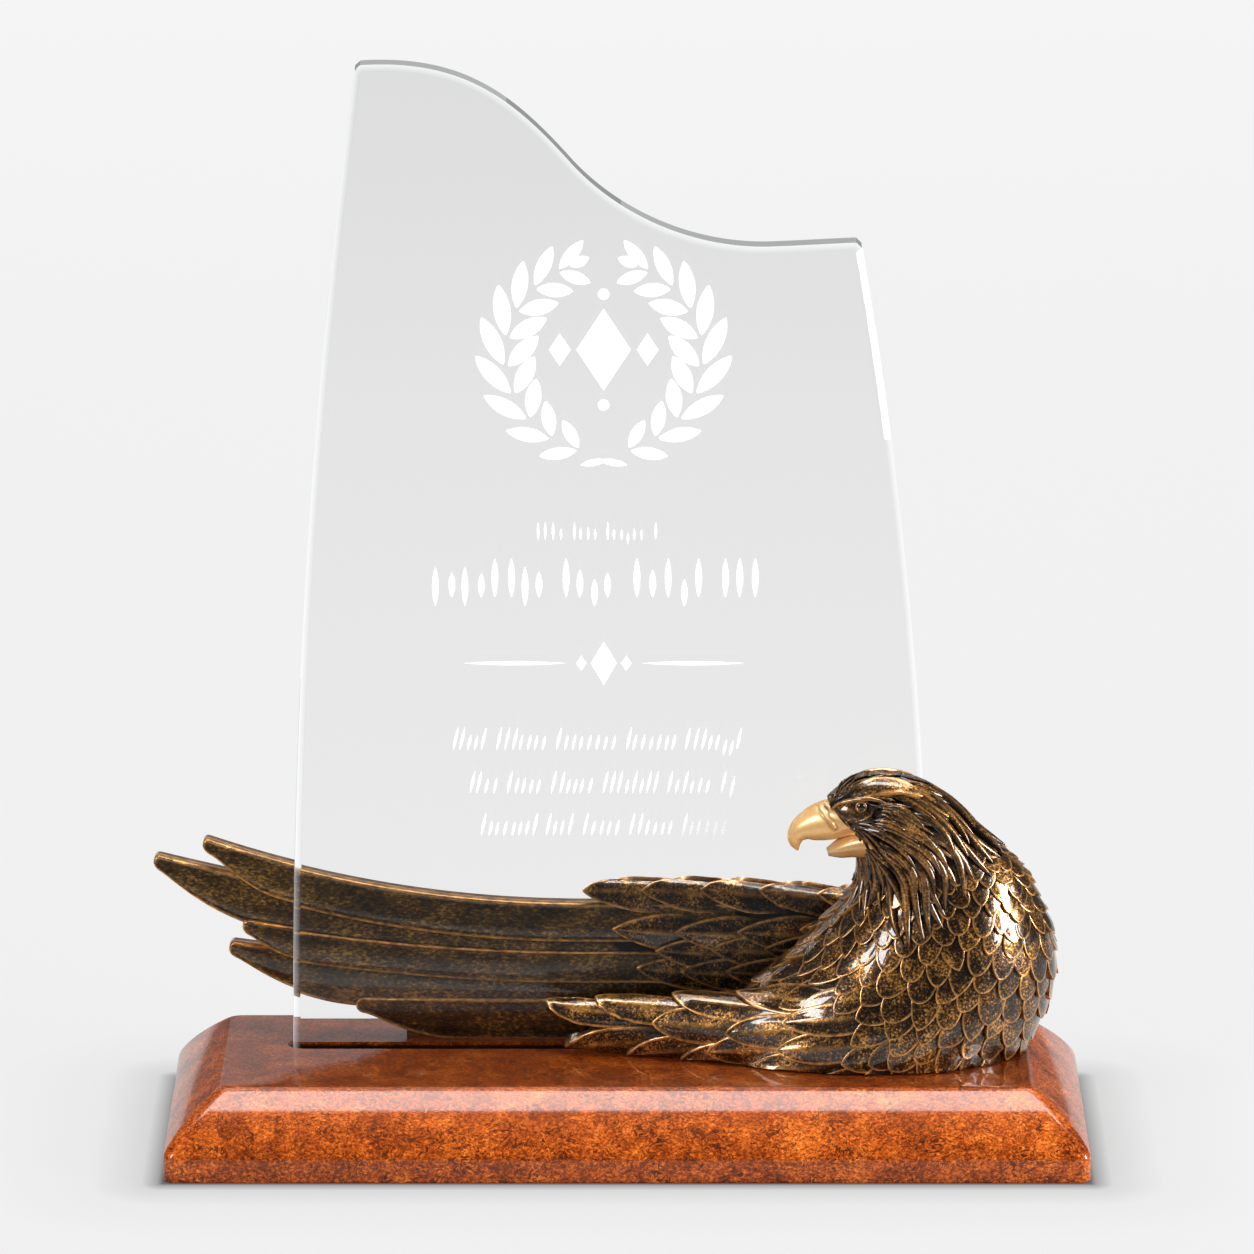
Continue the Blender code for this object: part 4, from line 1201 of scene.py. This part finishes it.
def build_hackles(body, bronze):
    """Strands in a staggered lattice. A slow wave through the lattice lifts some of them into locks."""
    pile = Pile()
    start = (84 * UNIT, ahead(22), up(66))
    for place, flow, side in spread(body, start, head_flow, strand_pitch, STRAND_ROW_SHARE, has_hackle):
        x, _, z = in_units(place)
        pitch = strand_pitch(place) / UNIT
        length = pitch * STRAND_LENGTH * rng.uniform(0.8, 1.25)
        path = streamline(body, place, head_flow, length * 0.6 * UNIT, length * 0.4 * UNIT, on_plumage)
        if len(path) < 4:
            continue
        lock = math.sin(place @ side / UNIT * 1.3 + 1.2 * math.sin(place @ flow / UNIT * 0.3))
        sway = side * pitch * STRAND_SWAY * lock * UNIT
        bent = [p + sway * math.sin(math.pi * 1.2 * k / (len(path) - 1)) for k, p in enumerate(path)]
        smooth = smoothstep(*CROWN_HEIGHTS, z + max(FACE[0] - x, 0)) * (1 - smoothstep(*CROWN_SPAN, x))
        kind = HACKLE_KIND._replace(
            taper=length * 0.6, tip_lift=0.5 + 0.3 * pitch + 0.5 * lock * (1 - smooth),
            crown=(0.46 - 0.3 * smooth) * pitch, groove=0.95 - 0.5 * smooth)
        lay_feather(pile, body, bent, pitch * rng.uniform(0.5, 0.66), kind)
    pile.build("neck_hackles", bronze)


# The smooth cap over each eye, with a raised edge, as x, reach ahead on the near side and height
CAP_PATH = [(57.2, 17.0, 74.8), (60.4, 18.6, 77.0), (63.8, 19.4, 78.9), (68.5, 19.6, 80.6),
            (74.8, 19.8, 80.9), (81.0, 20.5, 78.2)]
CAP_HALF_WIDTH = 2.9
CAP_KIND = Kind(taper=13, bluntness=0.7, tip_lift=1.35, root_lift=0.7, depth=1.6, crown=0.3,
                rim_height=0.3, rim_width=1.0, root_width=0.3, rows=26, columns=14)
# Ridges laid on the head as x, reach ahead, height and radius: the brow, and the fold under the eye
BROW_RIDGE = [(57.4, 17.4, 74.0, 0.35), (60.0, 19.0, 75.9, 0.65), (63.0, 20.4, 77.2, 0.75),
              (66.5, 21.4, 77.7, 0.65), (69.5, 22.0, 77.2, 0.4), (71.5, 22.2, 76.4, 0.2)]
LID_RIDGE = [(59.6, 18.6, 72.6, 0.2), (61.0, 19.2, 71.6, 0.35), (63.0, 20.2, 71.2, 0.42),
             (65.3, 21.2, 71.9, 0.42), (67.0, 21.8, 73.4, 0.35), (67.6, 22.0, 75.0, 0.2)]
# How far each ridge's middle stands out, and how bright its copper is
BROW_LIFT, BROW_SHINE = 0.9, 0.55
LID_LIFT, LID_SHINE = 0.1, 0.0
RIDGE_POINTS = 14
RIDGE_RINGS = 30


def on_side(x, reach, z, side):
    """A point of the head's near side in metres, or its mirror on the far side."""
    return np.array([x * UNIT, ahead(HEAD_DEPTH + side * (reach - HEAD_DEPTH)), up(z)])


def laid_ridge(pile, surface, rows, side, lift, rim):
    """A round bar that follows the surface through named points."""
    shares = np.linspace(0, len(rows) - 1, RIDGE_RINGS)
    named = [(*on_side(*row[:3], side), row[3]) for row in rows]
    line = [np.array([np.interp(s, range(len(rows)), column) for column in zip(*named)]) for s in shares]
    rings = []
    for k, (*point, radius) in enumerate(line):
        place, normal = surface.touch(point)
        along = (line[min(k + 1, len(line) - 1)] - line[max(k - 1, 0)])[:3]
        across = np.cross(normal, along / np.linalg.norm(along))
        middle = place + normal * lift * UNIT
        rings.append([middle + (across * math.cos(a) + normal * math.sin(a)) * radius * UNIT
                      for a in np.linspace(0, 2 * math.pi, RIDGE_POINTS, endpoint=False)])
    pile.add_plain(loft(rings), rim, 0.0)


def build_brows(body, bronze):
    pile = Pile()
    for side in (1, -1):
        lay_feather(pile, body, [on_side(*row, side) for row in CAP_PATH], CAP_HALF_WIDTH, CAP_KIND)
        laid_ridge(pile, body, BROW_RIDGE, side, BROW_LIFT, BROW_SHINE)
        laid_ridge(pile, body, LID_RIDGE, side, LID_LIFT, LID_SHINE)
    pile.add_plain(collar_shell(), 0.1, 0.35)
    pile.build("brows", bronze, angle=60)


EYE_RADIUS = 1.6
EYE_POINTS, EYE_LEVELS = 24, 16
# Radius and thickness of the raised ring round the eye, and how far it stands out from the eye's middle
EYE_RING = (1.35, 0.26, 1.15)
EYE_RING_STEPS = (36, 10)


def eye_shell(side):
    levels = []
    for level in range(1, EYE_LEVELS):
        polar = math.pi * level / EYE_LEVELS
        wide, z = EYE_RADIUS * math.sin(polar), up(EYE[2] - EYE_RADIUS * math.cos(polar))
        levels.append([((EYE[0] + wide * math.cos(a)) * UNIT,
                        ahead(HEAD_DEPTH + side * (EYE[1] + wide * math.sin(a))), z)
                       for a in np.linspace(0, 2 * math.pi, EYE_POINTS, endpoint=False)])
    return loft(levels)


def eye_ring_shell(side):
    radius, thickness, stand = EYE_RING
    around, across = EYE_RING_STEPS
    points, faces = [], []
    for i in range(around):
        a, after = 2 * math.pi * i / around, (i + 1) % around
        for j in range(across):
            b, beside = 2 * math.pi * j / across, (j + 1) % across
            reach = radius + thickness * math.cos(b)
            points.append(((EYE[0] + reach * math.cos(a)) * UNIT,
                           ahead(HEAD_DEPTH + side * (EYE[1] + stand + thickness * math.sin(b))),
                           up(EYE[2] + reach * math.sin(a))))
            faces.append((i * across + j, i * across + beside, after * across + beside, after * across + j))
    return points, faces


def build_eyes(bronze):
    balls, rings = Pile(), Pile()
    for side in (1, -1):
        balls.add_plain(eye_shell(side), 0.0, 0.0)
        rings.add_plain(eye_ring_shell(side), 0.8, 0.0)
    balls.build("eyes", eye_material(), angle=80)
    rings.build("eye_rings", bronze, angle=80)


# Beak: x and height of the middle line, half height across that line, half width
UPPER_BEAK = [
    (66, 70.8, 5.3, 7.4),
    (60.5, 70.5, 5.4, 6.5),
    (55.3, 69.5, 5.6, 5.5),
    (51.4, 68.4, 4.9, 4.5),
    (48.3, 67.0, 3.6, 3.5),
    (46.6, 65.0, 2.6, 2.6),
    (46.4, 63.1, 1.8, 1.8),
    (46.8, 61.6, 0.8, 0.9),
    (47.1, 60.9, 0.3, 0.35),
]
LOWER_BEAK = [
    (68, 64.2, 4.6, 6.4),
    (62.5, 63.2, 3.4, 5.0),
    (58.5, 61.8, 2.2, 3.6),
    (55.2, 60.6, 0.9, 1.8),
]
BEAK_RINGS = 110
BEAK_POINTS = 96
NOSTRIL = (54.7, 73.7)
# The nostril and its line only shape the sides of the beak to the right of this x
NOSTRIL_LEFT = 52
# The raised line in front of the nostril
NOSTRIL_LINE = [(54.2, 75.6), (53.1, 74.9), (53.4, 73.4), (54.9, 71.8), (56.3, 70.2), (57.1, 68.6)]
# The dark skin round the beak's root, in slanted rings: middle x and height, half length and half width
COLLAR = [
    (58.8, 71.1, 6.1, 6.5),
    (59.0, 71.3, 6.5, 6.9),
    (60.4, 71.8, 7.0, 7.4),
    (62.2, 72.1, 7.6, 8.0),
    (64.5, 72.0, 8.2, 8.6),
    (68.0, 71.5, 8.6, 8.6),
]
COLLAR_SLANT = math.radians(52)


def smooth_rows(rows, count):
    """The rows as a smooth curve through all their values (Catmull-Rom)."""
    rows = [np.array(row, float) for row in rows]
    rows = [2 * rows[0] - rows[1]] + rows + [2 * rows[-1] - rows[-2]]
    made = []
    for s in np.linspace(0, len(rows) - 3.001, count):
        k, t = int(s), s - int(s)
        a, b, c, d = rows[k:k + 4]
        square, cube = 2 * a - 5 * b + 4 * c - d, 3 * b - a - 3 * c + d
        made.append(0.5 * (2 * b + (c - a) * t + square * t ** 2 + cube * t ** 3))
    return made


def beak_rings(rows, count):
    """Oval rings square to the beak's middle line: x, z, share across, offset sideways, width per point."""
    rings = []
    for k, (x, z, tall, wide) in enumerate(rows):
        along = (rows[min(k + 1, len(rows) - 1)] - rows[max(k - 1, 0)])[:2]
        along /= np.linalg.norm(along)
        ring = []
        for j in range(count):
            angle = 2 * math.pi * j / count
            cosine = math.cos(angle)
            across = tall * cosine
            ring.append((x - along[1] * across, z + along[0] * across, cosine, wide * math.sin(angle), wide))
        rings.append(ring)
    return rings


def distance_to_line(x, z, line):
    """The distance from a point to a line of points."""
    here = np.array([x, z])
    best = 1e9
    for a, b in zip(line, line[1:]):
        a, b = np.array(a), np.array(b)
        share = min(max((here - a) @ (b - a) / ((b - a) @ (b - a)), 0), 1)
        best = min(best, np.linalg.norm(here - a - (b - a) * share))
    return best


def collar_shell():
    slant_x, slant_z = math.cos(COLLAR_SLANT), math.sin(COLLAR_SLANT)
    rings = []
    for x, z, tall, wide in COLLAR:
        rings.append(oval((0, 0), (tall, wide), lambda a, b, x=x, z=z: (
            (x - a * slant_x) * UNIT, ahead(HEAD_DEPTH + b), up(z + a * slant_z))))
    return loft(rings)


def nostril_relief(x, z):
    """How far the upper beak's side stands out at a point, and its painted shade there: in the nostril pit
    and along both sides of the raised line.
    """
    below = z - NOSTRIL[1] + 0.5 * (x - NOSTRIL[0])
    pit = math.exp(-((x - NOSTRIL[0]) / 0.9) ** 2 - (below / 0.5) ** 2)
    apart = distance_to_line(x, z, NOSTRIL_LINE)
    line = math.exp(-(apart / 0.4) ** 2)
    shade = math.exp(-((apart - 0.75) / 0.35) ** 2)
    return 0.45 * line - 0.3 * shade - 0.9 * pit, min(pit + 0.4 * shade, 1.0)


def beak_surface(pile, rows, is_upper):
    """The upper half has a nostril with a raised line before it. The lower half is dished on top. It is a
    little darker all over, and darker still in the dish as painted shade in the open beak.
    """
    patina_and_shade_values, rings = [], []
    for ring in beak_rings(smooth_rows(rows, BEAK_RINGS), BEAK_POINTS):
        placed = []
        for x, z, cosine, b, wide in ring:
            out, dark = 0.0, 0.0
            if is_upper and abs(b) > 0.3 * wide and x > NOSTRIL_LEFT:
                out, dark = nostril_relief(x, z)
            if not is_upper:
                dish = smoothstep(0.5, 0.95, cosine)
                z -= 0.9 * dish * min(wide / 3.5, 1.0)
                dark = 0.2 + 0.3 * dish
            placed.append((x * UNIT, ahead(HEAD_DEPTH + b * (1 + out / wide)), up(z)))
            patina_and_shade_values.append(dark)
        rings.append(placed)
    points, faces = loft(rings)
    pile.add(points, faces, [0.0] * len(points), patina_and_shade_values)


def build_beak():
    pile = Pile()
    beak_surface(pile, UPPER_BEAK, True)
    beak_surface(pile, LOWER_BEAK, False)
    pile.build("beak", beak_material(), "gold_finish", 60)


# Near wing's big feathers: tip x, height and reach ahead, length, slope, half width

NEAR_FEATHERS = [
    (-22.5, 13.4, 2.2, 34, 0.02, 4.4),
    (-17.0, 2.8, 2.6, 32, 0.07, 4.4),
    (0.2, 1.2, 6.5, 30, 0.10, 4.4),
    (15.0, 0.8, 10.5, 30, 0.10, 4.4),
    (-8.8, 15.2, 3.6, 40, 0.02, 5.0),
    (7.6, 10.2, 8.0, 34, 0.03, 5.2),
    (12.6, 16.0, 6.0, 36, 0.04, 5.0),
    (22.5, 3.8, 13.0, 32, 0.10, 5.0),
    (28.0, 9.0, 13.5, 32, 0.12, 5.0),
    (30.5, 16.4, 9.0, 30, 0.12, 4.6),
    (33.0, -0.5, 17.0, 28, 0.12, 4.6),
    (42.0, 5.5, 19.0, 28, 0.16, 4.8),
    (44.0, 12.5, 17.5, 28, 0.2, 4.6),
]
NEAR_FEATHER_SPLAY = 0.42
NEAR_WING_KIND = Kind(taper=15, bluntness=0.75, tip_lift=2.0, root_lift=-0.8, depth=1.6, crown=0.4,
                      shaft=0.25, rim_height=0.22, rim_width=0.75, root_width=0.75, rows=22, columns=14)
PATH_STEPS = 8


def straight_path(tip, length, splay, slope):
    """A path from root to tip, in metres. splay and slope lead back from the tip, per unit of length."""
    way = np.array([1, -splay, slope]) * length * UNIT
    return [tip + way * share for share in np.linspace(1, 0, PATH_STEPS)]


def build_near_wing(wing, bronze):
    pile = Pile()
    for x, height, reach, length, slope, half_width in NEAR_FEATHERS:
        tip = np.array([x * UNIT, ahead(reach), up(height)])
        path = straight_path(tip, length, NEAR_FEATHER_SPLAY, slope)
        lay_feather(pile, wing, path, half_width, NEAR_WING_KIND)
    pile.build("near_wing_feathers", bronze)


# Far wing's rows of short feathers: x and height of the first tip, step and arch along the row, count and
# half width

COVERT_ROWS = [
    (20.0, 10.5, 25.5, 0.0, 2, 5.6),
    (2.5, 20.3, 12.4, -0.3, 4, 5.4),
    (7.8, 25.8, 15.2, 0.25, 4, 5.6),
    (-4.2, 32.0, 17.4, -0.35, 4, 5.8),
    (-12.5, 43.8, 16.4, 0.0, 6, 5.6),
]
COVERT_LENGTH = 30
# From these places behind the slit, the nearest point is on the arm's front or on its back
COVERT_FRONT, COVERT_BACK = 1.0, 24.0
BACK_ROW_SHIFT = 5.0
COVERT_SLOPE = -0.08
COVERT_KIND = NEAR_WING_KIND._replace(taper=20, bluntness=0.85, tip_lift=1.7, root_lift=-1.2)


def build_coverts(arm, bronze):
    """The same rows on the wing's front and on its back."""
    pile = Pile()
    for side_y, shift in ((behind(COVERT_FRONT), 0.0), (behind(COVERT_BACK), BACK_ROW_SHIFT)):
        for x, height, step, arch, count, half_width in COVERT_ROWS:
            for k in range(count):
                z = up(height + arch * k * (count - 1 - k))
                tip = np.array([(x + shift + step * k) * UNIT, side_y, z])
                path = straight_path(tip, COVERT_LENGTH, 0.0, COVERT_SLOPE)
                lay_feather(pile, arm, path, half_width, COVERT_KIND)
    pile.build("far_wing_coverts", bronze)


# Far wing's long flight feathers: x and height of the tip, height of the upper edge at the root, how late
# that edge sweeps up, width, length that narrows to the tip, bluntness of the tip, and layer, with 1 in front

PRIMARIES = [
    (-118.2, 56.3, 38.8, 2.1, 10.8, 22, 0.95, 1),
    (-132.0, 50.9, 32.6, 1.6, 14.2, 34, 0.75, 0),
    (-107.3, 32.8, 24.8, 2.0, 8.6, 15, 0.9, 1),
    (-111.2, 26.0, 17.0, 1.4, 13.0, 34, 0.75, 0),
    (-75.6, 11.2, 11.0, 1.0, 11.5, 30, 0.85, 1),
]
PRIMARY_TIP_RADIUS = 2.0
PRIMARY_SWEEP_END = -10
PRIMARY_ROOT = 30
PRIMARY_STEPS = 90
# The steps crowd towards the tip
PRIMARY_CROWDING = 1.6
PRIMARY_COLUMNS = 16
PRIMARY_CROWN = 0.3
WING_FRONT = 4.2
WING_BACK = 10.5
LAYER_STEP = 1.2
BACK_LAYER_STEP = 0.96
WING_CURL = 3.0
WING_CURL_START = -10
WING_CURL_SPAN = 122
VANE_RIM_WIDTH = 0.8
VANE_RIM_HEIGHT = 0.35


def wing_curl(x):
    """How far the far wing bends away from the glass towards its tips."""
    return WING_CURL * max((WING_CURL_START - x) / WING_CURL_SPAN, 0.0) ** 2


def vane(pile, tip_x, tip_height, root_height, sweep, width, taper, bluntness, layer):
    """A flat flight feather that points to -X, with a rim on both faces and its tip at its upper edge."""
    faces_y = ((WING_FRONT + LAYER_STEP * (1 - layer), -1), (WING_BACK - BACK_LAYER_STEP * layer, 1))
    rings, rims = [], []
    for step in range(PRIMARY_STEPS + 1):
        x = tip_x + (PRIMARY_ROOT - tip_x) * (step / PRIMARY_STEPS) ** PRIMARY_CROWDING
        swept = max((PRIMARY_SWEEP_END - x) / (PRIMARY_SWEEP_END - tip_x), 0.0) ** sweep
        full = max((1 - (1 - min((x - tip_x) / taper, 1.0)) ** 2) ** bluntness, 0.03)
        rounded = math.sqrt(max(1 - max(1 - (x - tip_x) / PRIMARY_TIP_RADIUS, 0.0) ** 2, 0.0004))
        high = root_height + (tip_height - root_height) * swept - PRIMARY_TIP_RADIUS * (1 - rounded)
        tall = ((width * full) ** 3 + (2 * PRIMARY_TIP_RADIUS * rounded) ** 3) ** (1 / 3)
        ring = []
        for y, way in faces_y:
            for column in range(PRIMARY_COLUMNS + 1):
                t = -way * math.sin(math.pi / 2 * (2 * column / PRIMARY_COLUMNS - 1))
                edge = edge_distance(tall / 2 * (1 - abs(t)), x - tip_x)
                rise = PRIMARY_CROWN * (1 - t ** 4) * min(full * 3, 1.0)
                rise += VANE_RIM_HEIGHT * bead_share(edge, VANE_RIM_WIDTH, VANE_BEAD_START)
                z = high - tall * (1 - t) / 2
                ring.append((x * UNIT, behind(y + wing_curl(x) + rise * way), up(z)))
                rims.append(1 - smoothstep(0.5 * VANE_RIM_WIDTH, VANE_RIM_WIDTH, edge))
        rings.append(ring)
    points, faces = loft(rings)
    pile.add(points, faces, rims, [0.0] * len(rims))


# The bar that carries the wing on the plinth
FOOT_LEFT = -61.5
FOOT_RIGHT = 60
FOOT_FRONT = 4.9
FOOT_BACK = 10.5
FOOT_TOP = 6


def build_primaries(bronze):
    pile = Pile()
    for row in PRIMARIES:
        vane(pile, *row)
    foot, top = PLINTH_TOP + FLOOR_GAP, up(FOOT_TOP)
    front, back = behind(FOOT_FRONT), behind(FOOT_BACK)
    corners = ((front, foot), (front, top), (back, top), (back, foot))
    # The bar has a little copper and is partly dark, as patina and painted shade under the wing
    pile.add_plain(loft([[(x * UNIT, y, z) for y, z in corners] for x in (FOOT_LEFT, FOOT_RIGHT)]), 0.3, 0.4)
    pile.build("far_wing_primaries", bronze)


# Further than any piece reaches
FAR = 400 * MM


def form_piece(surface, bared_left):
    """The surface's skin, cut by the slit that holds the glass, by the plinth's top and left of an x."""
    rough = add_object("form", mesh_of("form", surface.skin(SKIN_DEPTH * UNIT)))
    cutters = [box_between((-FAR, SLIT_FRONT, -FAR), (SLIT_RIGHT, SLIT_BACK, FAR)),
               box_between((-FAR, -FAR, -FAR), (FAR, FAR, PLINTH_TOP + FLOOR_GAP))]
    if bared_left is not None:
        cutters.append(box_between((-FAR, -FAR, -FAR), (bared_left * UNIT, FAR, FAR)))
    for cutter in cutters:
        cut(rough, cutter)
    mesh = baked(rough, "form")
    for cutter in cutters:
        bpy.data.objects.remove(cutter, do_unlink=True)
    return [tuple(v.co) for v in mesh.vertices], [tuple(p.vertices) for p in mesh.polygons]


def build_form(body, arm, finish):
    """The dark casting under the feathers."""
    pieces = form_piece(body, None), form_piece(arm, ARM_SKIN_LEFT)
    pile = Pile()
    for piece in pieces:
        pile.add_plain(piece, 0.0, 0.8)
    pile.build("eagle_form", finish)


def build_eagle():
    bronze = bronze_material("antique bronze lacquer", SPECKLED)
    streaked = bronze_material("streaked bronze lacquer", STREAKED, 0.5)
    body = Surface([body_shell(), near_wing_shell(NEAR_WING_SECTIONS), collar_shell()])
    wing = Surface([body_shell(), near_wing_shell(NEAR_WING_SECTIONS + NEAR_WING_GUIDE_SECTIONS)])
    arm = Surface([arm_shell()])
    build_form(body, arm, dark_material())
    build_scales(body, bronze)
    build_hackles(body, bronze)
    build_brows(body, bronze)
    build_eyes(bronze)
    build_beak()
    build_near_wing(wing, bronze)
    build_coverts(arm, bronze)
    build_primaries(streaked)


# Stage, light and camera


def area_light(name, place, aim, size, power):
    data = bpy.data.lights.new(name, "AREA")
    data.shape = "RECTANGLE"
    data.size, data.size_y = size
    data.energy = power
    lamp = bpy.data.objects.new(name, data)
    bpy.context.scene.collection.objects.link(lamp)
    lamp.location = place
    lamp.rotation_euler = (Vector(aim) - Vector(place)).to_track_quat("-Z", "Y").to_euler()


FLOOR_GREY = (0.06, 0.06, 0.06)
# The floor's own light: near the trophy, in front of it and far behind it, and the places in y between them
FLOOR_GLOW, FLOOR_FRONT_GLOW, FLOOR_FAR_GLOW = 0.79, 0.06, 0.10
FLOOR_FRONT_SPAN, FLOOR_FAR_SPAN = (-0.17, -0.118), (0.1, 1.7)
# Beside the trophy it falls to a share, between two distances that grow a little towards the back
FLOOR_SIDE_SPAN, FLOOR_SIDE_SHARE, FLOOR_SIDE_SLOPE = (0.185, 0.5), 0.55, 0.062
# The shadow round the plinth: shares of its width and the light that is left there
CONTACT_WIDTH = 0.05
CONTACT = [(0.0, 0.12), (0.03, 0.4), (0.12, 0.78), (0.4, 0.95), (1.0, 1.0)]


def floor_material():
    """Pale, with a soft light of its own that ends in front of the trophy. It darkens close to the plinth."""
    made = Nodes("pale floor")
    x, y = made.maths("ABSOLUTE", made.axis("X")), made.axis("Y")
    beside = made.span(made.maths("SUBTRACT", x, made.times(y, FLOOR_SIDE_SLOPE)), *FLOOR_SIDE_SPAN, 1.0,
                       FLOOR_SIDE_SHARE)
    off_y = made.maths("ABSOLUTE", made.maths("SUBTRACT", y, (PLINTH_LOW.y + PLINTH_HIGH.y) / 2))
    half_depth = (PLINTH_HIGH.y - PLINTH_LOW.y) / 2
    over_x = made.maths("MAXIMUM", made.maths("SUBTRACT", x, PLINTH_HIGH.x), 0.0)
    over_y = made.maths("MAXIMUM", made.maths("SUBTRACT", off_y, half_depth), 0.0)
    away = made.maths("SQRT", made.plus(made.times(over_x, over_x), made.times(over_y, over_y)))
    stops = [(share, (left, left, left)) for share, left in CONTACT]
    contact = made.ramp(made.times(away, 1 / CONTACT_WIDTH), stops)
    glow = made.plus(made.span(y, *FLOOR_FRONT_SPAN, FLOOR_FRONT_GLOW, FLOOR_GLOW),
                     made.span(y, *FLOOR_FAR_SPAN, 0.0, FLOOR_FAR_GLOW))
    made.set(Base_Color=(*FLOOR_GREY, 1), Roughness=0.9, Specular_IOR_Level=0.0, Emission_Color=(1, 1, 1, 1))
    made.into("Emission Strength", made.times(made.times(glow, beside), contact))
    return made.material


def build_stage():
    half, back = 3.0, 2.6
    points = [(-half, -half, 0), (half, -half, 0), (half, back, 0), (-half, back, 0)]
    mesh = bpy.data.meshes.new("floor")
    mesh.from_pydata(points, [], [(0, 1, 2, 3)])
    add_object("floor", mesh, floor_material())


WORLD_GREY = (0.1, 0.1, 0.1, 1)
MIDDLE = (0.03, 0, 0.08)
# Name, place, aim, size and power
LIGHTS = [
    ("overhead softbox", (0.05, 0.36, 1.15), (0.05, 0.36, 0), (1.1, 1.06), 7.5),
    ("front edge strip", (0.05, -0.02, 1.14), (0.05, -0.02, 0), (0.8, 0.3), 7),
    ("back softbox", (0, 2.3, 0.8), (0, 0, 0.2), (2.4, 0.7), 2),
    ("right softbox", (0.88, -0.32, 0.26), MIDDLE, (0.3, 0.32), 9),
    ("left softbox", (-0.7, -0.8, 0.5), MIDDLE, (0.32, 0.42), 7),
]


def build_lights():
    world = bpy.data.worlds.new("studio")
    world.use_nodes = True
    world.node_tree.nodes["Background"].inputs["Color"].default_value = WORLD_GREY
    bpy.context.scene.world = world
    for row in LIGHTS:
        area_light(*row)


CAMERA_PITCH = math.radians(14)
CAMERA_DISTANCE = 2.7023
CAMERA_AIM_HEIGHT = 0.1443
CAMERA_LENS = 282.03
CAMERA_SENSOR = 36
CAMERA_REACH = 20


def build_camera():
    data = bpy.data.cameras.new("camera")
    data.lens = CAMERA_LENS
    data.sensor_width = CAMERA_SENSOR
    data.clip_end = CAMERA_REACH
    camera = bpy.data.objects.new("camera", data)
    bpy.context.scene.collection.objects.link(camera)
    camera.location = (0, -CAMERA_DISTANCE * math.cos(CAMERA_PITCH),
                       CAMERA_AIM_HEIGHT + CAMERA_DISTANCE * math.sin(CAMERA_PITCH))
    camera.rotation_euler = (math.pi / 2 - CAMERA_PITCH, 0, 0)
    bpy.context.scene.camera = camera
    bpy.context.scene.view_settings.view_transform = "Standard"


build_plinth()
build_glass()
build_engraving()
build_eagle()
build_stage()
build_lights()
build_camera()
